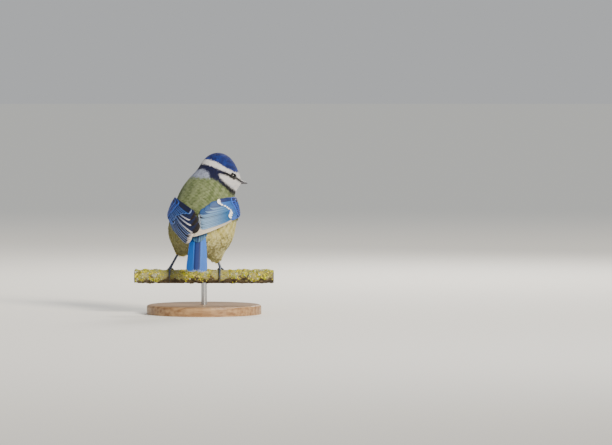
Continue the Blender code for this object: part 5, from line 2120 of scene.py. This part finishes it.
@dataclass
class Leg:
    """A bare shank with scutes and a foot of four toes round the branch."""

    name: str
    ankle: Point
    foot: float
    branch: Branch
    shank_radius: float = 0.88
    toe_radius: float = 0.8
    claw_radius: float = 0.45
    gap: float = 0.12
    toes: tuple[tuple[float, float, float, float], ...] = (
        (-3.2, 88, 0.5, 3.0), (0.2, 104, 0.4, 3.2), (3.4, 84, 0.5, 3.0), (-0.3, -84, -0.2, 5.4))

    def scaled_tube(self, path: Array, radii: Array, pitch: float, sides: int) -> tuple:
        """Shape a tube whose front and back step over scutes of one pitch.

        Args:
            path: Its middle line.
            radii: Its radius at each point.
            pitch: The length of a scute.
            sides: Points round it.

        Returns:
            Points, triangles, pattern and shade.
        """
        run = np.concatenate([[0], np.cumsum(np.linalg.norm(np.diff(path, axis=0), axis=1))])
        steps = int(run[-1] / pitch * 6)
        at = np.linspace(0, run[-1], steps)
        fine = np.stack([np.interp(at, run, path[:, k]) for k in range(3)], 1)
        step = (at / pitch) % 1.0
        lip = 0.07 * (step - 0.45) - 0.05 * smooth((step - 0.86) / 0.1)
        verts, faces = tube(fine, np.interp(at, run, radii) * (1 + lip), sides)
        tone = 1.0 - 0.45 * smooth((step - 0.84) / 0.12) * smooth((1.02 - step) / 0.06)
        shade = np.concatenate([np.repeat(tone, sides), [1, 1]])[:, None] * np.ones(3)
        around = np.linspace(0, 1, sides, endpoint=False)
        pattern = np.stack([np.tile(around, steps), np.repeat(at / run[-1], sides)], 1)
        pattern = np.concatenate([pattern, [[0.5, 0], [0.5, 1]]])
        return verts, faces, pattern, shade

    def toe_line(self, toe: tuple[float, float, float, float]) -> tuple[Array, Array]:
        """Find a toe's middle line round the branch and where its claw goes.

        Args:
            toe: Its splay, reach, and its claw's hook and length.

        Returns:
            The toe's points and the claw's points.
        """
        splay, reach, hook, length = toe
        t = np.linspace(0, 1, 15)
        turn = math.radians(reach) * t
        knuckle = 0.1 * np.sin(t * np.pi * 3) ** 2
        points = self.branch.point(self.foot + splay * np.sin(t * np.pi / 2), turn,
                                   self.toe_radius + 0.3 + knuckle - 0.12 * t)
        heading = unit(points[-1] - points[-2])
        inward = unit(np.array([0.0, 0.0, -self.branch.radius]) - points[-1] * np.array([0, 1, 1]))
        s = np.linspace(0, 1, 12)[:, None]
        claw = points[-1] - heading * 0.5 + heading * (length + 0.5) * s + inward * hook * s ** 2
        return points, claw

    def build(self) -> list[Thing]:
        """Make the leg.

        Returns:
            The shank and toes, and the claws.
        """
        shape, claws = Shape(), Shape()
        hub = self.branch.point(self.foot, 0.0, self.toe_radius + 0.65)
        lean = unit(np.array(self.ankle) - hub)
        path = np.linspace(hub - lean * 0.6, np.array(self.ankle) + lean * 2.5, 12)
        t = np.linspace(0, 1, 12)
        radii = self.shank_radius * (1.0 + 0.35 * (1 - t) ** 5 + 0.22 * smooth((t - 0.75) / 0.2))
        shape.add(*self.scaled_tube(path, radii, 1.25, 16))
        for toe in self.toes:
            points, claw = self.toe_line(toe)
            size = self.toe_radius * (1.0 - 0.25 * np.linspace(0, 1, len(points)))
            shape.add(*self.scaled_tube(points, size, 0.85, 14))
            s = np.linspace(0, 1, len(claw))
            verts, faces = tube(claw, self.claw_radius * (1.2 - 1.1 * s ** 1.3) + 0.02, 10)
            pattern = np.stack([np.tile(np.linspace(0, 1, 10), len(s)), np.repeat(s, 10)], 1)
            pattern = np.concatenate([pattern, [[0, 0], [0, 1]]])
            claws.add(verts, faces, pattern)
        return [gathered_mesh(f"{self.name}_skin", shape, Plain.SCUTES.value.material()),
                gathered_mesh(f"{self.name}_claws", claws, Plain.CLAW.value.material())]


@dataclass(frozen=True)
class SteelFinish:
    """Brushed stainless steel rod: fine rings of brushing, which draw its highlights out."""

    name: str = "brushed_stainless_steel"
    colour: str = "#b9bbbd"
    brush: float = 0.2
    stretch: Point = (0.05, 0.05, 1.0)

    def material(self) -> Material:
        """Build the finish.

        Returns:
            The material.
        """
        surface = Surface(self.name, {"Base Color": rgba(self.colour), "Metallic": 1.0})
        rough = add_node(surface.tree, "ShaderNodeMapRange",
                         {"From Min": 0.3, "From Max": 0.7, "To Min": 0.25, "To Max": 0.42},
                         {"Value": surface.grain(self.brush, 3.0, self.stretch)})
        surface.tree.links.new(rough.outputs["Result"], surface.shader.inputs["Roughness"])
        return surface.material


@dataclass(frozen=True)
class FloorFinish:
    """Matt painted board with painted light: pale round the stand as if lit there, and falling to the
    backdrop's grey far off.
    """

    name: str = "painted_board"
    near: str = "#f2f1ee"
    far: str = "#b9bec3"
    start: float = 0.35
    end: float = 2.6

    def material(self) -> Material:
        """Build the finish.

        Returns:
            The material.
        """
        surface = Surface(self.name, {"Roughness": 0.95, "Specular IOR Level": 0.0})
        place = add_node(surface.tree, "ShaderNodeTexCoord")
        away = add_node(surface.tree, "ShaderNodeVectorMath", {"operation": "LENGTH"},
                        {0: place.outputs["Object"]})
        share = add_node(surface.tree, "ShaderNodeMapRange", {"interpolation_type": "SMOOTHSTEP",
                         "From Min": self.start, "From Max": self.end}, {"Value": away.outputs["Value"]})
        return surface.dress(surface.over(self.near, self.far, share.outputs[0], 0.0, 1.0))


@dataclass
class Studio:
    """A pale floor, soft lights and the camera at the photograph's viewing angle."""

    aim: Point = (76.5, 0.0, 68.6)
    distance: float = 3000.0
    elevation: float = 2.0
    field: float = 459.0
    sensor: float = 36.0
    floor_radius: float = 30.0
    key_strength: float = 4.6
    key_softness: float = 16.0
    key_direction: Point = (0.8, -1.0, 0.62)
    sky: str = "#dcdee0"
    sky_strength: float = 0.66

    def lamp(self, name: str, kind: str, place: Point, size: float, power: float, colour: str) -> None:
        """Hang one soft light that shines at the bird.

        Args:
            name: Its name.
            kind: Whether it is an area or a sun.
            place: Where it hangs, in millimetres.
            size: An area's side in millimetres, or a sun's width in degrees.
            power: Its strength.
            colour: Its colour.
        """
        light = bpy.data.lights.new(name, kind)
        if kind == "SUN":
            light.angle = math.radians(size)
        else:
            light.size = size * MM
        light.energy = power
        light.color = rgba(colour)[:3]
        thing = bpy.data.objects.new(name, light)
        bpy.context.scene.collection.objects.link(thing)
        self.point_at(thing, np.array(place) * MM, np.array([0.0, 0.0, 0.075]))

    @staticmethod
    def point_at(thing: Thing, place: Array, target: Array) -> None:
        """Put a light or a camera in place, looking at a target."""
        thing.location = place
        thing.rotation_euler = Vector(target - place).to_track_quat("-Z", "Y").to_euler()

    def build(self) -> None:
        """Make the floor, the lights, the sky and the camera."""
        turn = np.linspace(0, 2 * np.pi, 96, endpoint=False)
        ring = np.stack([np.cos(turn), np.sin(turn), np.zeros(96)], 1) * self.floor_radius
        mesh = bpy.data.meshes.new("floor")
        mesh.from_pydata(ring.tolist(), [], [tuple(range(96))])
        mesh.materials.append(FloorFinish().material())
        floor = bpy.data.objects.new("floor", mesh)
        bpy.context.scene.collection.objects.link(floor)
        key = tuple(1500.0 * k for k in self.key_direction)
        self.lamp("key", "SUN", key, self.key_softness, self.key_strength, "#fff2dc")
        self.lamp("catch", "AREA", (420.0, -620.0, 560.0), 120.0, 2.2, "#ffffff")
        self.lamp("rim", "AREA", (300.0, 700.0, 600.0), 300.0, 6.0, "#fffaf0")
        world = bpy.data.worlds.new("studio")
        world.use_nodes = True
        background = world.node_tree.nodes["Background"]
        background.inputs["Color"].default_value = rgba(self.sky)
        background.inputs["Strength"].default_value = self.sky_strength
        bpy.context.scene.world = world
        camera = bpy.data.cameras.new("camera")
        camera.sensor_width = self.sensor
        camera.lens = self.sensor * self.distance / self.field
        camera.clip_end = 60.0
        thing = bpy.data.objects.new("camera", camera)
        bpy.context.scene.collection.objects.link(thing)
        aim = np.array(self.aim) * MM
        lift = math.radians(self.elevation)
        away = np.array([0.0, -math.cos(lift), math.sin(lift)])
        self.point_at(thing, aim + away * self.distance * MM, aim)
        bpy.context.scene.camera = thing


def settle(piece: Thing, slot: str, *nodes: str) -> None:
    """Ride a piece on the model, log its finish's slot, and hide the nodes it stands for.

    Args:
        piece: The piece.
        slot: The record's material slot.
        nodes: The nodes it replaces.
    """
    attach(piece, "root")
    if nodes:
        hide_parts(*nodes)
    log.info("%s rides on root, finish %s", piece.name, slot)


def main() -> None:
    """Build every part of the bird, its branch and its stand."""
    logging.basicConfig(level=logging.INFO, format="%(name)s: %(message)s")
    draw = np.random.default_rng(2)
    right = Wing("wing_right", 1, 104.0, 2.0, 13.0, 1.0, 64.0, 0.0, 0.0,
                 RIGHT_INNER_TIERS + upper_tiers(Vanes.GREATER))
    left = Wing("wing_left", -1, 104.0, 13.0, 36.0, 1.2, 42.0, 1.8, 1.8,
                LEFT_INNER_TIERS + upper_tiers(Vanes.LEFT_GREATER), primary_finish=Vanes.LEFT_PRIMARY)
    scatter = Scatter()
    skin = Skin().build([right, left])
    coat = Coat().build(skin, scatter)
    settle(skin, "plumage_body", "head", "neck", "torso", "thigh_left", "thigh_right")
    for piece in coat:
        head = piece.name in (Region.CROWN.value, Region.FACE_RIGHT.value, Region.FACE_LEFT.value)
        settle(piece, "plumage_blue" if head else "plumage_body")
    for wing in (right, left):
        pieces = wing.build(draw)
        settle(pieces[0], "wing_feather", wing.name)
        for piece in pieces[1:]:
            settle(piece, "wing_feather")
    rides = [("tail_feather", "tail"), ("tail_feather",), ("eye", "eye_right"), ("plumage_blue",),
             ("eye", "eye_left"), ("plumage_blue",), ("horn", "bill_upper"), ("horn", "bill_lower"),
             ("plumage_blue",)]
    for piece, ride in zip(Tail().build() + Eyes().build() + Bill().build(), rides):
        settle(piece, *ride)
    branch = Branch()
    wood = branch.wood()
    lichen = branch.lichen(wood, scatter)
    settle(wood, "bark", "perch")
    settle(lichen, "bark")
    for side, ankle, foot in (("left", (-19.2, 2.2, 12.8), branch.feet[0]),
                              ("right", (10.2, 1.0, 7.4), branch.feet[1])):
        shank, claws = Leg(f"leg_{side}", ankle, foot, branch).build()
        settle(shank, "leg", f"tarsus_{side}", f"foot_{side}")
        settle(claws, "horn")
    for node, finish in (("stand_base", Plain.BEECH.value), ("stand_rod", SteelFinish())):
        mesh = frame["nodes"][node].data
        mesh.materials.clear()
        mesh.materials.append(finish.material())
    Studio().build()
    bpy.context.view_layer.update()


if __name__ == "__main__":
    main()
